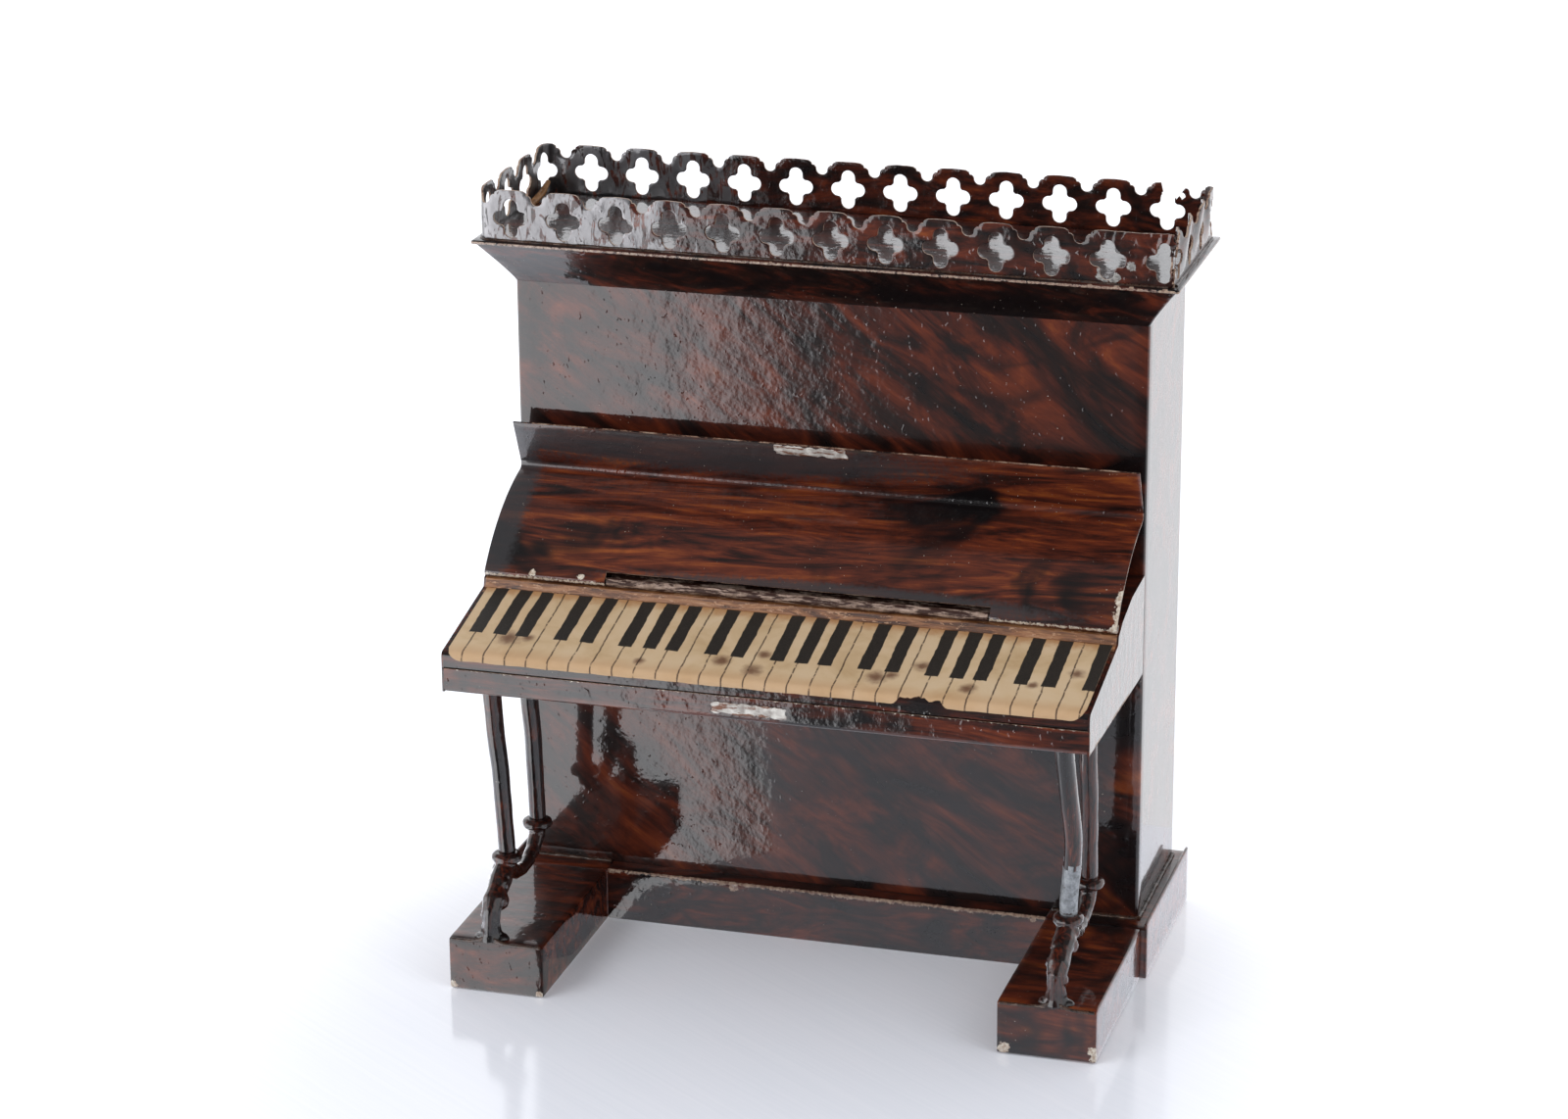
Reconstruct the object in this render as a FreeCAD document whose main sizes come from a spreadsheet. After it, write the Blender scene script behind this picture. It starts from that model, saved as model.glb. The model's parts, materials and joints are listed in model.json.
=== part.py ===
"""Dolls' house upright piano of folded and soldered tinplate, with a fall that opens on a wire hinge.

Frame: +Z up, +X to the player's right, -Y towards the player. The origin is at the bottom centre of
the whole piano. Lengths are in millimetres and angles in degrees.
"""
import FreeCAD
import Part
import Sketcher
import os

Vector = FreeCAD.Vector
Rotation = FreeCAD.Rotation

# Driving dimensions: alias, value, meaning.
SIZES = [
    ("gauge", 0.35, "thickness of the tinplate"),
    ("case_width", 110.0, "outside width of the case and of the keybed"),
    ("case_depth", 29.4, "front panel to back plate, outside"),
    ("case_height", 105.7, "bottom of the case to the foot of the cornice"),
    ("case_corner", 0.5, "outside radius of the folded case corners"),
    ("foot_height", 9.3, "height of the feet, on which the case stands"),
    ("cornice_height", 8.1, "foot of the cornice to its top plate"),
    ("cornice_flare", 5.55, "how far the cove leans out at the front and sides"),
    ("gallery_height", 8.9, "height of the pierced gallery strip"),
    ("gallery_inset", 1.1, "cornice rim to the gallery at the front and sides"),
    ("gallery_back_inset", 0.6, "back of the cornice to the gallery"),
    ("gallery_bend", 2.0, "outside radius of the gallery's bends"),
    ("gallery_seam", 0.2, "gap between the two ends of the gallery strip"),
    ("arch_pitch", 9.3, "spacing of the pierced arches"),
    ("arch_share", 0.25, "share of an arch's pitch by which a full row may pass the strip's ends"),
    ("quatrefoil_arm", 1.95, "centre of a quatrefoil to the centre of each lobe"),
    ("quatrefoil_lobe", 1.05, "radius of a lobe"),
    ("quatrefoil_height", 4.0, "cornice top to the centre of a quatrefoil"),
    ("notch_depth", 2.5, "arch top to the bottom of the notch between two arches"),
    ("notch_radius", 1.0, "radius of the notch bottom"),
    ("notch_mouth", 1.8, "half the width of the notch at the arch tops"),
    ("hinge_height", 69.2, "hinge axis above the table"),
    ("knuckle_radius", 0.8, "outside radius of the rolled hinge knuckles"),
    ("pin_clearance", 0.05, "gap between the hinge wire and the knuckles"),
    ("knuckle_gap", 0.3, "gap between the fixed knuckle and each moving one"),
    ("fixed_knuckle", 66.0, "length of the fixed knuckle"),
    ("key_length", 21.6, "hinge axis to the front of the keybed"),
    ("key_slope", 12.1, "fall of the key surface towards the player"),
    ("key_step", 2.6, "hinge axis down to the back of the key surface"),
    ("riser_foot", 0.7, "hinge axis forward to the foot of the riser"),
    ("riser_head", 0.3, "hinge axis forward to the head of the riser"),
    ("riser_clearance", 0.4, "underside of the knuckles down to the head of the riser"),
    ("shelf_start", 1.8, "back of the knuckles to the front edge of the shelf"),
    ("shelf_start_rise", 0.35, "hinge axis up to the front edge of the shelf"),
    ("shelf_sag", 0.5, "how much lower the middle of the shelf is than its back edge"),
    ("roll_radius", 1.0, "radius of the roll at the front of the key surface"),
    ("lip_depth", 1.7, "straight part of the key surface's front lip"),
    ("rail_gap", 0.3, "gap between the front lip and the front rail"),
    ("rail_height", 4.1, "height of the front rail"),
    ("shelf_rise", 2.6, "hinge axis up to the shelf where it meets the case"),
    ("keybed_case_depth", 17.6, "height of the cheek where it meets the case"),
    ("paper", 0.15, "thickness of the printed keyboard"),
    ("paper_margin", 0.3, "riser to the back edge of the printed keyboard"),
    ("paper_side", 0.5, "cheek to the side of the printed keyboard"),
    ("paper_wrap", 0.4, "how far the paper goes down past the front roll"),
    ("fall_open", 33.5, "angle of the open fall, hinge axis to crease, above the horizontal"),
    ("fall_shut", 11.8, "angle of the shut fall below the horizontal"),
    ("fall_bow", 35.0, "radius to which the fall's panel is bowed"),
    ("fall_root", 140.0, "angle round the hinge axis at which the open panel leaves its knuckle"),
    ("fall_margin", 0.3, "how much narrower than the case the fall is, each side"),
    ("lip_length", 9.9, "width of the fall's bent-over lip"),
    ("lip_angle", 114.0, "angle of the open fall's lip above the horizontal"),
    ("lip_clearance", 1.0, "front rail to the crease of the shut fall"),
    ("stop_gap", 0.05, "gap between the open fall and the case it leans on"),
    ("catch_width", 13.0, "width of the solder left by the lost catch"),
    ("catch_height", 2.2, "height of that solder"),
    ("catch_thickness", 0.2, "thickness of that solder"),
    ("catch_centre", -1.8, "middle of the catch from the middle of the piano"),
    ("foot_width", 16.8, "width of a front foot"),
    ("foot_overhang", 1.4, "how far a front foot stands out beyond the case's side"),
    ("foot_rear_overhang", 2.5, "how far a rear foot stands out beyond the case's side"),
    ("foot_setback", 2.553, "front of the keybed to the front of the feet"),
    ("foot_seam", 4.0, "case front to the seam between front and rear foot"),
    ("foot_tail", 2.3, "how far the feet reach behind the case"),
    ("gutter_rise", 0.8, "height of the rear foot's outer edge above its top"),
    ("rail_reach", 3.6, "how far the base rail stands in front of the case"),
    ("rail_tuck", 3.0, "how far the base rail's top runs under the case"),
    ("leg_inset", 5.8, "case side to the middle of a leg"),
    ("leg_thickness", 4.0, "width of the scroll casting, side to side"),
    ("scroll_bar", 3.2, "thickness of the scroll, seen from the side"),
    ("link_bar", 2.6, "thickness of the link, seen from the side"),
    ("collar_setback", 10.2, "front of the feet to the front collar"),
    ("rear_collar", 12.8, "case front to the rear collar"),
    ("collar_height", 20.2, "underside of the collars above the table"),
    ("collar_rise", 1.6, "height of a collar"),
    ("collar_radius", 2.6, "radius of a collar"),
    ("column_foot", 1.5, "radius of a column at its collar"),
    ("column_head", 1.6, "radius of a column under the keybed"),
    ("head_setback", 7.153, "front of the keybed to the head of the front columns"),
    ("rear_lean", 3.6, "how far the rear columns lean forward"),
    ("solder_gap", 0.02, "gap that solder fills where a sheet or a column meets another sheet"),
]

document = FreeCAD.newDocument("upright_piano")
sheet = document.addObject("Spreadsheet::Sheet", "Sizes")
for row, (alias, number, meaning) in enumerate(SIZES, 1):
    sheet.set("A%d" % row, meaning)
    sheet.set("B%d" % row, str(number))
    sheet.setAlias("B%d" % row, alias)
document.recompute()

# Lengths that follow from the driving dimensions, as expressions over the sheet.
GAUGE = "Sizes.gauge"
HALF = "(Sizes.case_width / 2)"
DEPTH = "Sizes.case_depth"
FLOOR = "Sizes.foot_height"
CORNICE_FOOT = "(Sizes.foot_height + Sizes.case_height)"
CORNICE_TOP = "(Sizes.foot_height + Sizes.case_height + Sizes.cornice_height)"
FLARE = "Sizes.cornice_flare"
RIM = "(Sizes.cornice_flare + Sizes.gauge)"

# Fall, in the side view: the crease is fall_reach from the hinge axis, and leans on the case.
FALL_REACH = "((Sizes.key_length + Sizes.lip_clearance) / cos(Sizes.fall_shut * 1 deg))"
CREASE_SET = "(Sizes.gauge + Sizes.stop_gap)"
HINGE_SET = "(%s * cos(Sizes.fall_open * 1 deg) + %s)" % (FALL_REACH, CREASE_SET)
HINGE_Y = "(-%s)" % HINGE_SET
HINGE_Z = "Sizes.hinge_height"
CREASE_Y = "(-%s)" % CREASE_SET
CREASE_Z = "(%s + %s * sin(Sizes.fall_open * 1 deg))" % (HINGE_Z, FALL_REACH)
LIP_DY = "cos(Sizes.lip_angle * 1 deg)"
LIP_DZ = "sin(Sizes.lip_angle * 1 deg)"
LIP_Y = "(%s + Sizes.lip_length * %s)" % (CREASE_Y, LIP_DY)
LIP_Z = "(%s + Sizes.lip_length * %s)" % (CREASE_Z, LIP_DZ)

# Keybed, in the side view.
KEYBED_FRONT = "(-%s - Sizes.key_length)" % HINGE_SET
SLOPE_SIN = "sin(Sizes.key_slope * 1 deg)"
SLOPE_COS = "cos(Sizes.key_slope * 1 deg)"
SLOPE_TAN = "tan(Sizes.key_slope * 1 deg)"
KEY_BACK = ("(%s - Sizes.riser_foot)" % HINGE_Y, "(%s - Sizes.key_step)" % HINGE_Z)
ROLL_Y = "(%s + Sizes.roll_radius * (1 - %s))" % (KEYBED_FRONT, SLOPE_SIN)
ROLL_Z = "(%s - (%s - %s) * %s)" % (KEY_BACK[1], KEY_BACK[0], ROLL_Y, SLOPE_TAN)
ROLL = (ROLL_Y, ROLL_Z)
ROLL_AXIS_Z = "(%s - Sizes.roll_radius * %s)" % (ROLL_Z, SLOPE_COS)
RISER_TOP = ("(%s - Sizes.riser_head)" % HINGE_Y,
             "(%s - Sizes.knuckle_radius - Sizes.riser_clearance)" % HINGE_Z)
SHELF_FRONT = ("(%s + Sizes.knuckle_radius + Sizes.shelf_start)" % HINGE_Y,
               "(%s + Sizes.shelf_start_rise)" % HINGE_Z)
SHELF_MIDDLE = ("(-%s / 2)" % HINGE_SET, "(%s + Sizes.shelf_rise - Sizes.shelf_sag)" % HINGE_Z)
SHELF_END = ("-Sizes.solder_gap", "(%s + Sizes.shelf_rise)" % HINGE_Z)
LIP_FOOT_Z = "(%s - Sizes.lip_depth)" % ROLL_AXIS_Z
RAIL_TOP_Z = "(%s - Sizes.rail_gap)" % LIP_FOOT_Z
RAIL_FOOT_Z = "(%s - Sizes.rail_height)" % RAIL_TOP_Z
TRAY_END_Z = "(%s + Sizes.shelf_rise - Sizes.keybed_case_depth)" % HINGE_Z
TRAY_SLOPE = "((%s - %s) / %s)" % (RAIL_FOOT_Z, TRAY_END_Z, KEYBED_FRONT)

# Feet and legs follow the case's width and the keybed's front.
FOOT_OUTER = "(%s + Sizes.foot_overhang)" % HALF
FOOT_INNER = "(%s - Sizes.foot_width)" % FOOT_OUTER
FOOT_REAR_OUTER = "(%s + Sizes.foot_rear_overhang)" % HALF
FOOT_FRONT = "(%s + Sizes.foot_setback)" % KEYBED_FRONT
LEG_X = "(%s - Sizes.leg_inset)" % HALF
FRONT_COLLAR = "(%s + Sizes.collar_setback)" % FOOT_FRONT
REAR_COLLAR = "(-Sizes.rear_collar)"
FRONT_HEAD = "(%s + Sizes.head_setback)" % KEYBED_FRONT
REAR_HEAD = "(%s - Sizes.rear_lean)" % REAR_COLLAR

# Paths of the castings in the side view: each point is a step along Y and a step up from a place.
COLLAR_FOOT = "Sizes.collar_height"
SCROLL_STEPS = [(FOOT_FRONT, 0.3, FLOOR, 0.0), (FOOT_FRONT, -0.1, FLOOR, 5.0),
                (FOOT_FRONT, 3.6, COLLAR_FOOT, -1.9), (FRONT_COLLAR, -1.0, COLLAR_FOOT, 0.2)]
LINK_STEPS = [(REAR_COLLAR, 1.0, COLLAR_FOOT, -1.0), (REAR_COLLAR, -3.4, COLLAR_FOOT, -4.8),
              (FRONT_COLLAR, 4.4, COLLAR_FOOT, -5.0), (FRONT_COLLAR, 0.6, COLLAR_FOOT, -1.4)]

# A half circle is drawn a hair larger than its chord asks, so that its centre is always found.
HALF_CIRCLE = "1.0001 * "

# The case front stands here along Y, so that the origin is under the middle of the whole piano.
CASE_FRONT_Y = "((Sizes.catch_thickness - %s - %s - Sizes.foot_tail) / 2)" % (KEYBED_FRONT, DEPTH)

SIDE_VIEW = FreeCAD.Placement(Vector(), Rotation(Vector(1, 1, 1), 120))
FRONT_VIEW = FreeCAD.Placement(Vector(), Rotation(Vector(1, 0, 0), 90))

sub_parts = []


def number(expression):
    """The present value of an expression over the sheet."""
    result = sheet.evalExpression(expression)
    return float(getattr(result, "Value", result))


def bind(item, **expressions):
    """Bind properties to the sheet: length="..." sets Length, and x, y, z set the position."""
    for name, expression in expressions.items():
        if name in ("x", "y", "z"):
            item.setExpression("Placement.Base." + name, expression)
        else:
            item.setExpression(name, expression)
    return item


def sub_part(item, name, z=None):
    """Register a finished sub-part, and stand it at the case front's place."""
    item.Label = name
    item.setExpression("Placement.Base.y", CASE_FRONT_Y)
    if z:
        item.setExpression("Placement.Base.z", z)
    sub_parts.append(item)
    return item


def fix_point(sketch, geometry, end, point, tag):
    """Hold one end of a line or arc at a point given by two expressions."""
    for kind, expression in zip(("DistanceX", "DistanceY"), point):
        index = sketch.addConstraint(Sketcher.Constraint(kind, geometry, end, number(expression)))
        name = "%s%s" % (tag, kind[-1])
        sketch.renameConstraint(index, name)
        sketch.setExpression("Constraints." + name, expression)


def draw_outline(sketch, points, closed, arcs=None):
    """Draw lines through the points; arcs maps a side's number to (radius, left or right turn)."""
    arcs = arcs or {}
    flat = [Vector(number(across), number(up), 0) for across, up in points]
    sides = len(points) if closed else len(points) - 1
    starts = []
    for side in range(sides):
        start, end = flat[side], flat[(side + 1) % len(flat)]
        if side not in arcs:
            sketch.addGeometry(Part.LineSegment(start, end))
            starts.append((1, 2))
            continue
        radius, turn = arcs[side]
        half_chord = (end - start) * 0.5
        reach = (number(radius) ** 2 - half_chord.Length ** 2) ** 0.5
        left = Vector(-half_chord.y, half_chord.x, 0).normalize()
        sign = 1 if turn == "left" else -1
        centre = start + half_chord + left * (reach * sign)
        middle = centre - left * (number(radius) * sign)
        sketch.addGeometry(Part.Arc(start, middle, end))
        starts.append((1, 2) if turn == "left" else (2, 1))
    for side in range(sides):
        fix_point(sketch, side, starts[side][0], points[side], "P%d" % side)
        if side in arcs:
            index = sketch.addConstraint(Sketcher.Constraint("Radius", side, number(arcs[side][0])))
            sketch.renameConstraint(index, "Radius%d" % side)
            sketch.setExpression("Constraints.Radius%d" % side, arcs[side][0])
        if side + 1 < sides or closed:
            after = (side + 1) % sides
            sketch.addConstraint(Sketcher.Constraint("Coincident", side, starts[side][1],
                                                     after, starts[after][0]))
        else:
            fix_point(sketch, side, starts[side][1], points[-1], "End")


def outline(name, points, view, closed=True, arcs=None):
    """A free sketch seen from the side (Y, Z) or from the front (X, Z)."""
    sketch = document.addObject("Sketcher::SketchObject", name + "_outline")
    sketch.Placement = view
    draw_outline(sketch, points, closed, arcs)
    return sketch


def extrusion(name, profile, width, along=Vector(1, 0, 0), symmetric=True):
    """Extrude a profile to a bound width."""
    solid = document.addObject("Part::Extrusion", name)
    solid.Base = profile
    solid.DirMode = "Custom"
    solid.Dir = along
    solid.Solid = True
    solid.Symmetric = symmetric
    return bind(solid, LengthFwd=width)


def bent_sheet(name, points, width, thickness=GAUGE, arcs=None):
    """A folded strip: its thickness lies to the right of the path, seen from +X."""
    path = outline(name, points, SIDE_VIEW, closed=False, arcs=arcs)
    section = document.addObject("Part::Offset2D", name + "_section")
    section.Source = path
    section.Mode = "Skin"
    section.Join = "Arc"
    section.Fill = True
    bind(section, Value=thickness)
    return extrusion(name, section, width)


def box(name, low, size):
    """A plain box from its low corner and its size."""
    solid = document.addObject("Part::Box", name)
    return bind(solid, x=low[0], y=low[1], z=low[2], Length=size[0], Width=size[1], Height=size[2])


def rod(name, radius, length, middle, y, z):
    """A cylinder along X, centred on middle."""
    solid = document.addObject("Part::Cylinder", name)
    solid.Placement = FreeCAD.Placement(Vector(), Rotation(Vector(0, 1, 0), 90))
    return bind(solid, Radius=radius, Height=length, x="%s - %s / 2" % (middle, length), y=y, z=z)


def fuse(name, shapes):
    solid = document.addObject("Part::MultiFuse", name)
    solid.Shapes = shapes
    return solid


def cut(name, base, tool):
    solid = document.addObject("Part::Cut", name)
    solid.Base = base
    solid.Tool = tool
    return solid


def body_plane(body, role):
    return next(item for item in body.Origin.OriginFeatures if item.Role == role)


def body_sketch(body, name, role, points=None, arcs=None):
    """A closed sketch on one of the body's own planes."""
    sketch = body.newObject("Sketcher::SketchObject", name)
    sketch.AttachmentSupport = [(body_plane(body, role), "")]
    sketch.MapMode = "FlatFace"
    if points:
        draw_outline(sketch, points, True, arcs)
    return sketch


def upright_edges(shape, corners):
    """Names of the vertical edges that stand at the given (x, y) corners."""
    names = []
    for index, edge in enumerate(shape.Edges, 1):
        first, last = edge.Vertexes[0].Point, edge.Vertexes[-1].Point
        if abs(first.z - last.z) < 1e-6:
            continue
        if any(abs(first.x - x) < 1e-3 and abs(first.y - y) < 1e-3 for x, y in corners):
            names.append("Edge%d" % index)
    return names


def round_edges(body, base, corners, radius):
    document.recompute()
    places = [(number(x), number(y)) for x, y in corners]
    fillet = body.newObject("PartDesign::Fillet", body.Name + "_bend")
    fillet.Base = (base, upright_edges(base.Shape, places))
    bind(fillet, Radius=radius)
    document.recompute()
    return fillet


def wrap_points(out):
    """Plan of a sheet folded round the front and both sides, leaning out by an expression."""
    side, front = "(%s + %s)" % (HALF, out), "(-%s)" % out
    inner, inner_front = "(%s - %s)" % (side, GAUGE), "(%s + %s)" % (front, GAUGE)
    return [("-" + side, front), (side, front), (side, DEPTH), (inner, DEPTH), (inner, inner_front),
            ("-" + inner, inner_front), ("-" + inner, DEPTH), ("-" + side, DEPTH)]


def make_case():
    """Front and sides folded from one sheet, with a back plate and a bottom plate."""
    body = document.addObject("PartDesign::Body", "case_wrap")
    sketch = body_sketch(body, "case_wrap_plan", "XY_Plane", wrap_points("0"))
    pad = body.newObject("PartDesign::Pad", "case_wrap_pad")
    pad.Profile = sketch
    bind(pad, Length="Sizes.case_height")
    round_edges(body, pad, [("-" + HALF, "0"), (HALF, "0")], "Sizes.case_corner")
    sub_part(body, "case_wrap", FLOOR)

    inside, ear = "(%s - %s)" % (HALF, GAUGE), "(%s + %s - %s)" % (HALF, FLARE, GAUGE)
    top = "(%s - %s)" % (CORNICE_TOP, GAUGE)
    points = [("-" + inside, FLOOR), (inside, FLOOR), (inside, CORNICE_FOOT), (ear, top),
              ("-" + ear, top), ("-" + inside, CORNICE_FOOT)]
    profile = outline("case_back", points, FRONT_VIEW)
    back = extrusion("case_back", profile, GAUGE, Vector(0, -1, 0), symmetric=False)
    back.Label = "case_back"
    bind(back, y="%s + %s" % (CASE_FRONT_Y, DEPTH))
    sub_parts.append(back)

    bottom = box("case_bottom", ("-" + inside, GAUGE, FLOOR),
                 ("2 * " + inside, "%s - 2 * %s" % (DEPTH, GAUGE), GAUGE))
    bind(bottom, y="%s + %s" % (CASE_FRONT_Y, GAUGE))
    bottom.Label = "case_bottom"
    sub_parts.append(bottom)


def make_cornice():
    """A flared cove on three sides, and a top plate whose edge is turned down over it."""
    body = document.addObject("PartDesign::Body", "cornice_cove")
    low = body_sketch(body, "cove_foot", "XY_Plane", wrap_points("0"))
    high = body_sketch(body, "cove_head", "XY_Plane", wrap_points(FLARE))
    high.setExpression("AttachmentOffset.Base.z", "Sizes.cornice_height - Sizes.gauge")
    loft = body.newObject("PartDesign::AdditiveLoft", "cove_loft")
    loft.Profile = low
    loft.Sections = [high]
    loft.Ruled = True
    sub_part(body, "cornice_cove", CORNICE_FOOT)

    side = "(%s + %s)" % (HALF, RIM)
    plate = box("cornice_plate", ("-" + side, "-" + RIM, CORNICE_TOP + " - " + GAUGE),
                ("2 * " + side, "%s + %s" % (DEPTH, RIM), GAUGE))
    flange_z = CORNICE_TOP + " - 2 * " + GAUGE
    front = box("cornice_front_flange", ("-" + side, "-" + RIM, flange_z),
                ("2 * " + side, GAUGE, GAUGE))
    sides = [box("cornice_side_flange_%d" % index, (x, "-" + RIM, flange_z),
                 (GAUGE, "%s + %s" % (DEPTH, RIM), GAUGE))
             for index, x in enumerate(("-" + side, side + " - " + GAUGE))]
    sub_part(fuse("cornice_top", [plate, front] + sides), "cornice_top")


def pierce(body, name, role, axis, middle, count, notches):
    """Pierce a row of quatrefoils, and the notches that part the arches above them."""
    arm, lobe = "Sizes.quatrefoil_arm", "Sizes.quatrefoil_lobe"
    at = "(%s - (%s - 1) * Sizes.arch_pitch / 2)" % (middle, count)
    up = "Sizes.quatrefoil_height"
    steps = [(arm, "-" + lobe), (arm, lobe), (lobe, lobe), (lobe, arm), ("-" + lobe, arm),
             ("-" + lobe, lobe), ("-" + arm, lobe), ("-" + arm, "-" + lobe),
             ("-" + lobe, "-" + lobe), ("-" + lobe, "-" + arm), (lobe, "-" + arm), (lobe, "-" + lobe)]
    points = [("%s + %s" % (at, across), "%s + %s" % (up, rise)) for across, rise in steps]
    half_turn = (HALF_CIRCLE + lobe, "left")
    flower = body_sketch(body, name + "_quatrefoil", role, points,
                         {0: half_turn, 3: half_turn, 6: half_turn, 9: half_turn})
    notch_at = "(%s - (%s - 1) * Sizes.arch_pitch / 2)" % (middle, notches)
    radius, mouth = "Sizes.notch_radius", "Sizes.notch_mouth"
    top, above = "Sizes.gallery_height", "(Sizes.gallery_height + Sizes.gauge)"
    sill = "(%s - Sizes.notch_depth + %s)" % (top, radius)
    corners = [("-" + mouth, top), ("-" + radius, sill), (radius, sill), (mouth, top),
               (mouth, above), ("-" + mouth, above)]
    notch = body_sketch(body, name + "_notch", role,
                        [("%s + %s" % (notch_at, across), rise) for across, rise in corners],
                        {1: (HALF_CIRCLE + radius, "left")})
    for sketch, tag, repeats in ((flower, "quatrefoils", count), (notch, "notches", notches)):
        pocket = body.newObject("PartDesign::Pocket", "%s_%s_pocket" % (name, tag))
        pocket.Profile = sketch
        pocket.Type = "ThroughAll"
        pocket.Midplane = True
        document.recompute()
        pattern = body.newObject("PartDesign::LinearPattern", "%s_%s" % (name, tag))
        pattern.Originals = [pocket]
        pattern.Direction = (body_plane(body, axis), [""])
        bind(pattern, Length="(%s - 1) * Sizes.arch_pitch" % repeats, Occurrences=repeats)
        body.Tip = pattern
        document.recompute()


def make_gallery():
    """One pierced strip bent round the cornice; its ends meet at the front right corner."""
    side = "(%s + %s - Sizes.gallery_inset)" % (HALF, RIM)
    front, back = "(Sizes.gallery_inset - %s)" % RIM, "(%s - Sizes.gallery_back_inset)" % DEPTH
    inner, inner_front = "(%s - %s)" % (side, GAUGE), "(%s + %s)" % (front, GAUGE)
    inner_back, seam = "(%s - %s)" % (back, GAUGE), "(%s - %s - Sizes.gallery_seam)" % (side, GAUGE)
    points = [(seam, front), ("-" + side, front), ("-" + side, back), (side, back), (side, front),
              (inner, front), (inner, inner_back), ("-" + inner, inner_back),
              ("-" + inner, inner_front), (seam, inner_front)]
    body = document.addObject("PartDesign::Body", "gallery_strip")
    sketch = body_sketch(body, "gallery_plan", "XY_Plane", points)
    pad = body.newObject("PartDesign::Pad", "gallery_pad")
    pad.Profile = sketch
    bind(pad, Length="Sizes.gallery_height")
    outer = round_edges(body, pad, points[1:4], "Sizes.gallery_bend")
    round_edges(body, outer, points[6:9], "Sizes.gallery_bend - Sizes.gauge")
    # Notches part the arches of the front and back rows; a side row has one at each end as well.
    front_count = "floor(2 * %s / Sizes.arch_pitch + Sizes.arch_share)" % side
    side_count = "floor((%s - %s - 2 * Sizes.gallery_bend) / Sizes.arch_pitch)" % (back, front)
    middle = "((%s + %s) / 2)" % (front, back)
    pierce(body, "front", "XZ_Plane", "X_Axis", "0", front_count, "(%s - 1)" % front_count)
    pierce(body, "side", "YZ_Plane", "Y_Axis", middle, side_count, "(%s + 1)" % side_count)
    sub_part(body, "gallery_strip", CORNICE_TOP)


def make_keybed():
    """A wedge-shaped box: top sheet, tray with front rail, two cheeks, and the printed keyboard."""
    between = "(Sizes.case_width - 2 * Sizes.gauge)"
    lip_foot, roll_end = (KEYBED_FRONT, LIP_FOOT_Z), (KEYBED_FRONT, ROLL_AXIS_Z)
    top = [lip_foot, roll_end, ROLL, KEY_BACK, RISER_TOP, SHELF_FRONT, SHELF_MIDDLE, SHELF_END]
    roll = "Sizes.roll_radius"
    sub_part(bent_sheet("keybed_top", top, between, arcs={1: (roll, "right")}), "keybed_top")

    tray = [("-Sizes.solder_gap", TRAY_END_Z), (KEYBED_FRONT, RAIL_FOOT_Z), (KEYBED_FRONT, RAIL_TOP_Z)]
    sub_part(bent_sheet("keybed_tray", tray, between), "keybed_tray")

    cheek = top[1:] + [("-Sizes.solder_gap", TRAY_END_Z), (KEYBED_FRONT, RAIL_FOOT_Z)]
    for name, x in (("cheek_left", "-" + HALF), ("cheek_right", "%s - %s" % (HALF, GAUGE))):
        profile = outline(name, cheek, SIDE_VIEW, arcs={0: (roll, "right")})
        plate = extrusion(name, profile, GAUGE, symmetric=False)
        bind(plate, x=x)
        sub_part(plate, name)

    margin_y = "(%s - Sizes.paper_margin)" % KEY_BACK[0]
    margin_z = "(%s - Sizes.paper_margin * %s)" % (KEY_BACK[1], SLOPE_TAN)
    paper = [(margin_y, margin_z), ROLL, roll_end,
             (KEYBED_FRONT, "%s - Sizes.paper_wrap" % ROLL_AXIS_Z)]
    sub_part(bent_sheet("keyboard_paper", paper, between + " - 2 * Sizes.paper_side", "Sizes.paper",
                        {1: (roll, "left")}), "keyboard_paper")

    catch_x = "Sizes.catch_centre - Sizes.catch_width / 2"
    patch = box("rail_catch_solder",
                (catch_x, KEYBED_FRONT, "(%s + %s - Sizes.catch_height) / 2" % (RAIL_TOP_Z, RAIL_FOOT_Z)),
                ("Sizes.catch_width", "Sizes.catch_thickness", "Sizes.catch_height"))
    bind(patch, y="%s + %s - Sizes.catch_thickness" % (CASE_FRONT_Y, KEYBED_FRONT))
    patch.Label = "rail_catch_solder"
    sub_parts.append(patch)


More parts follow.
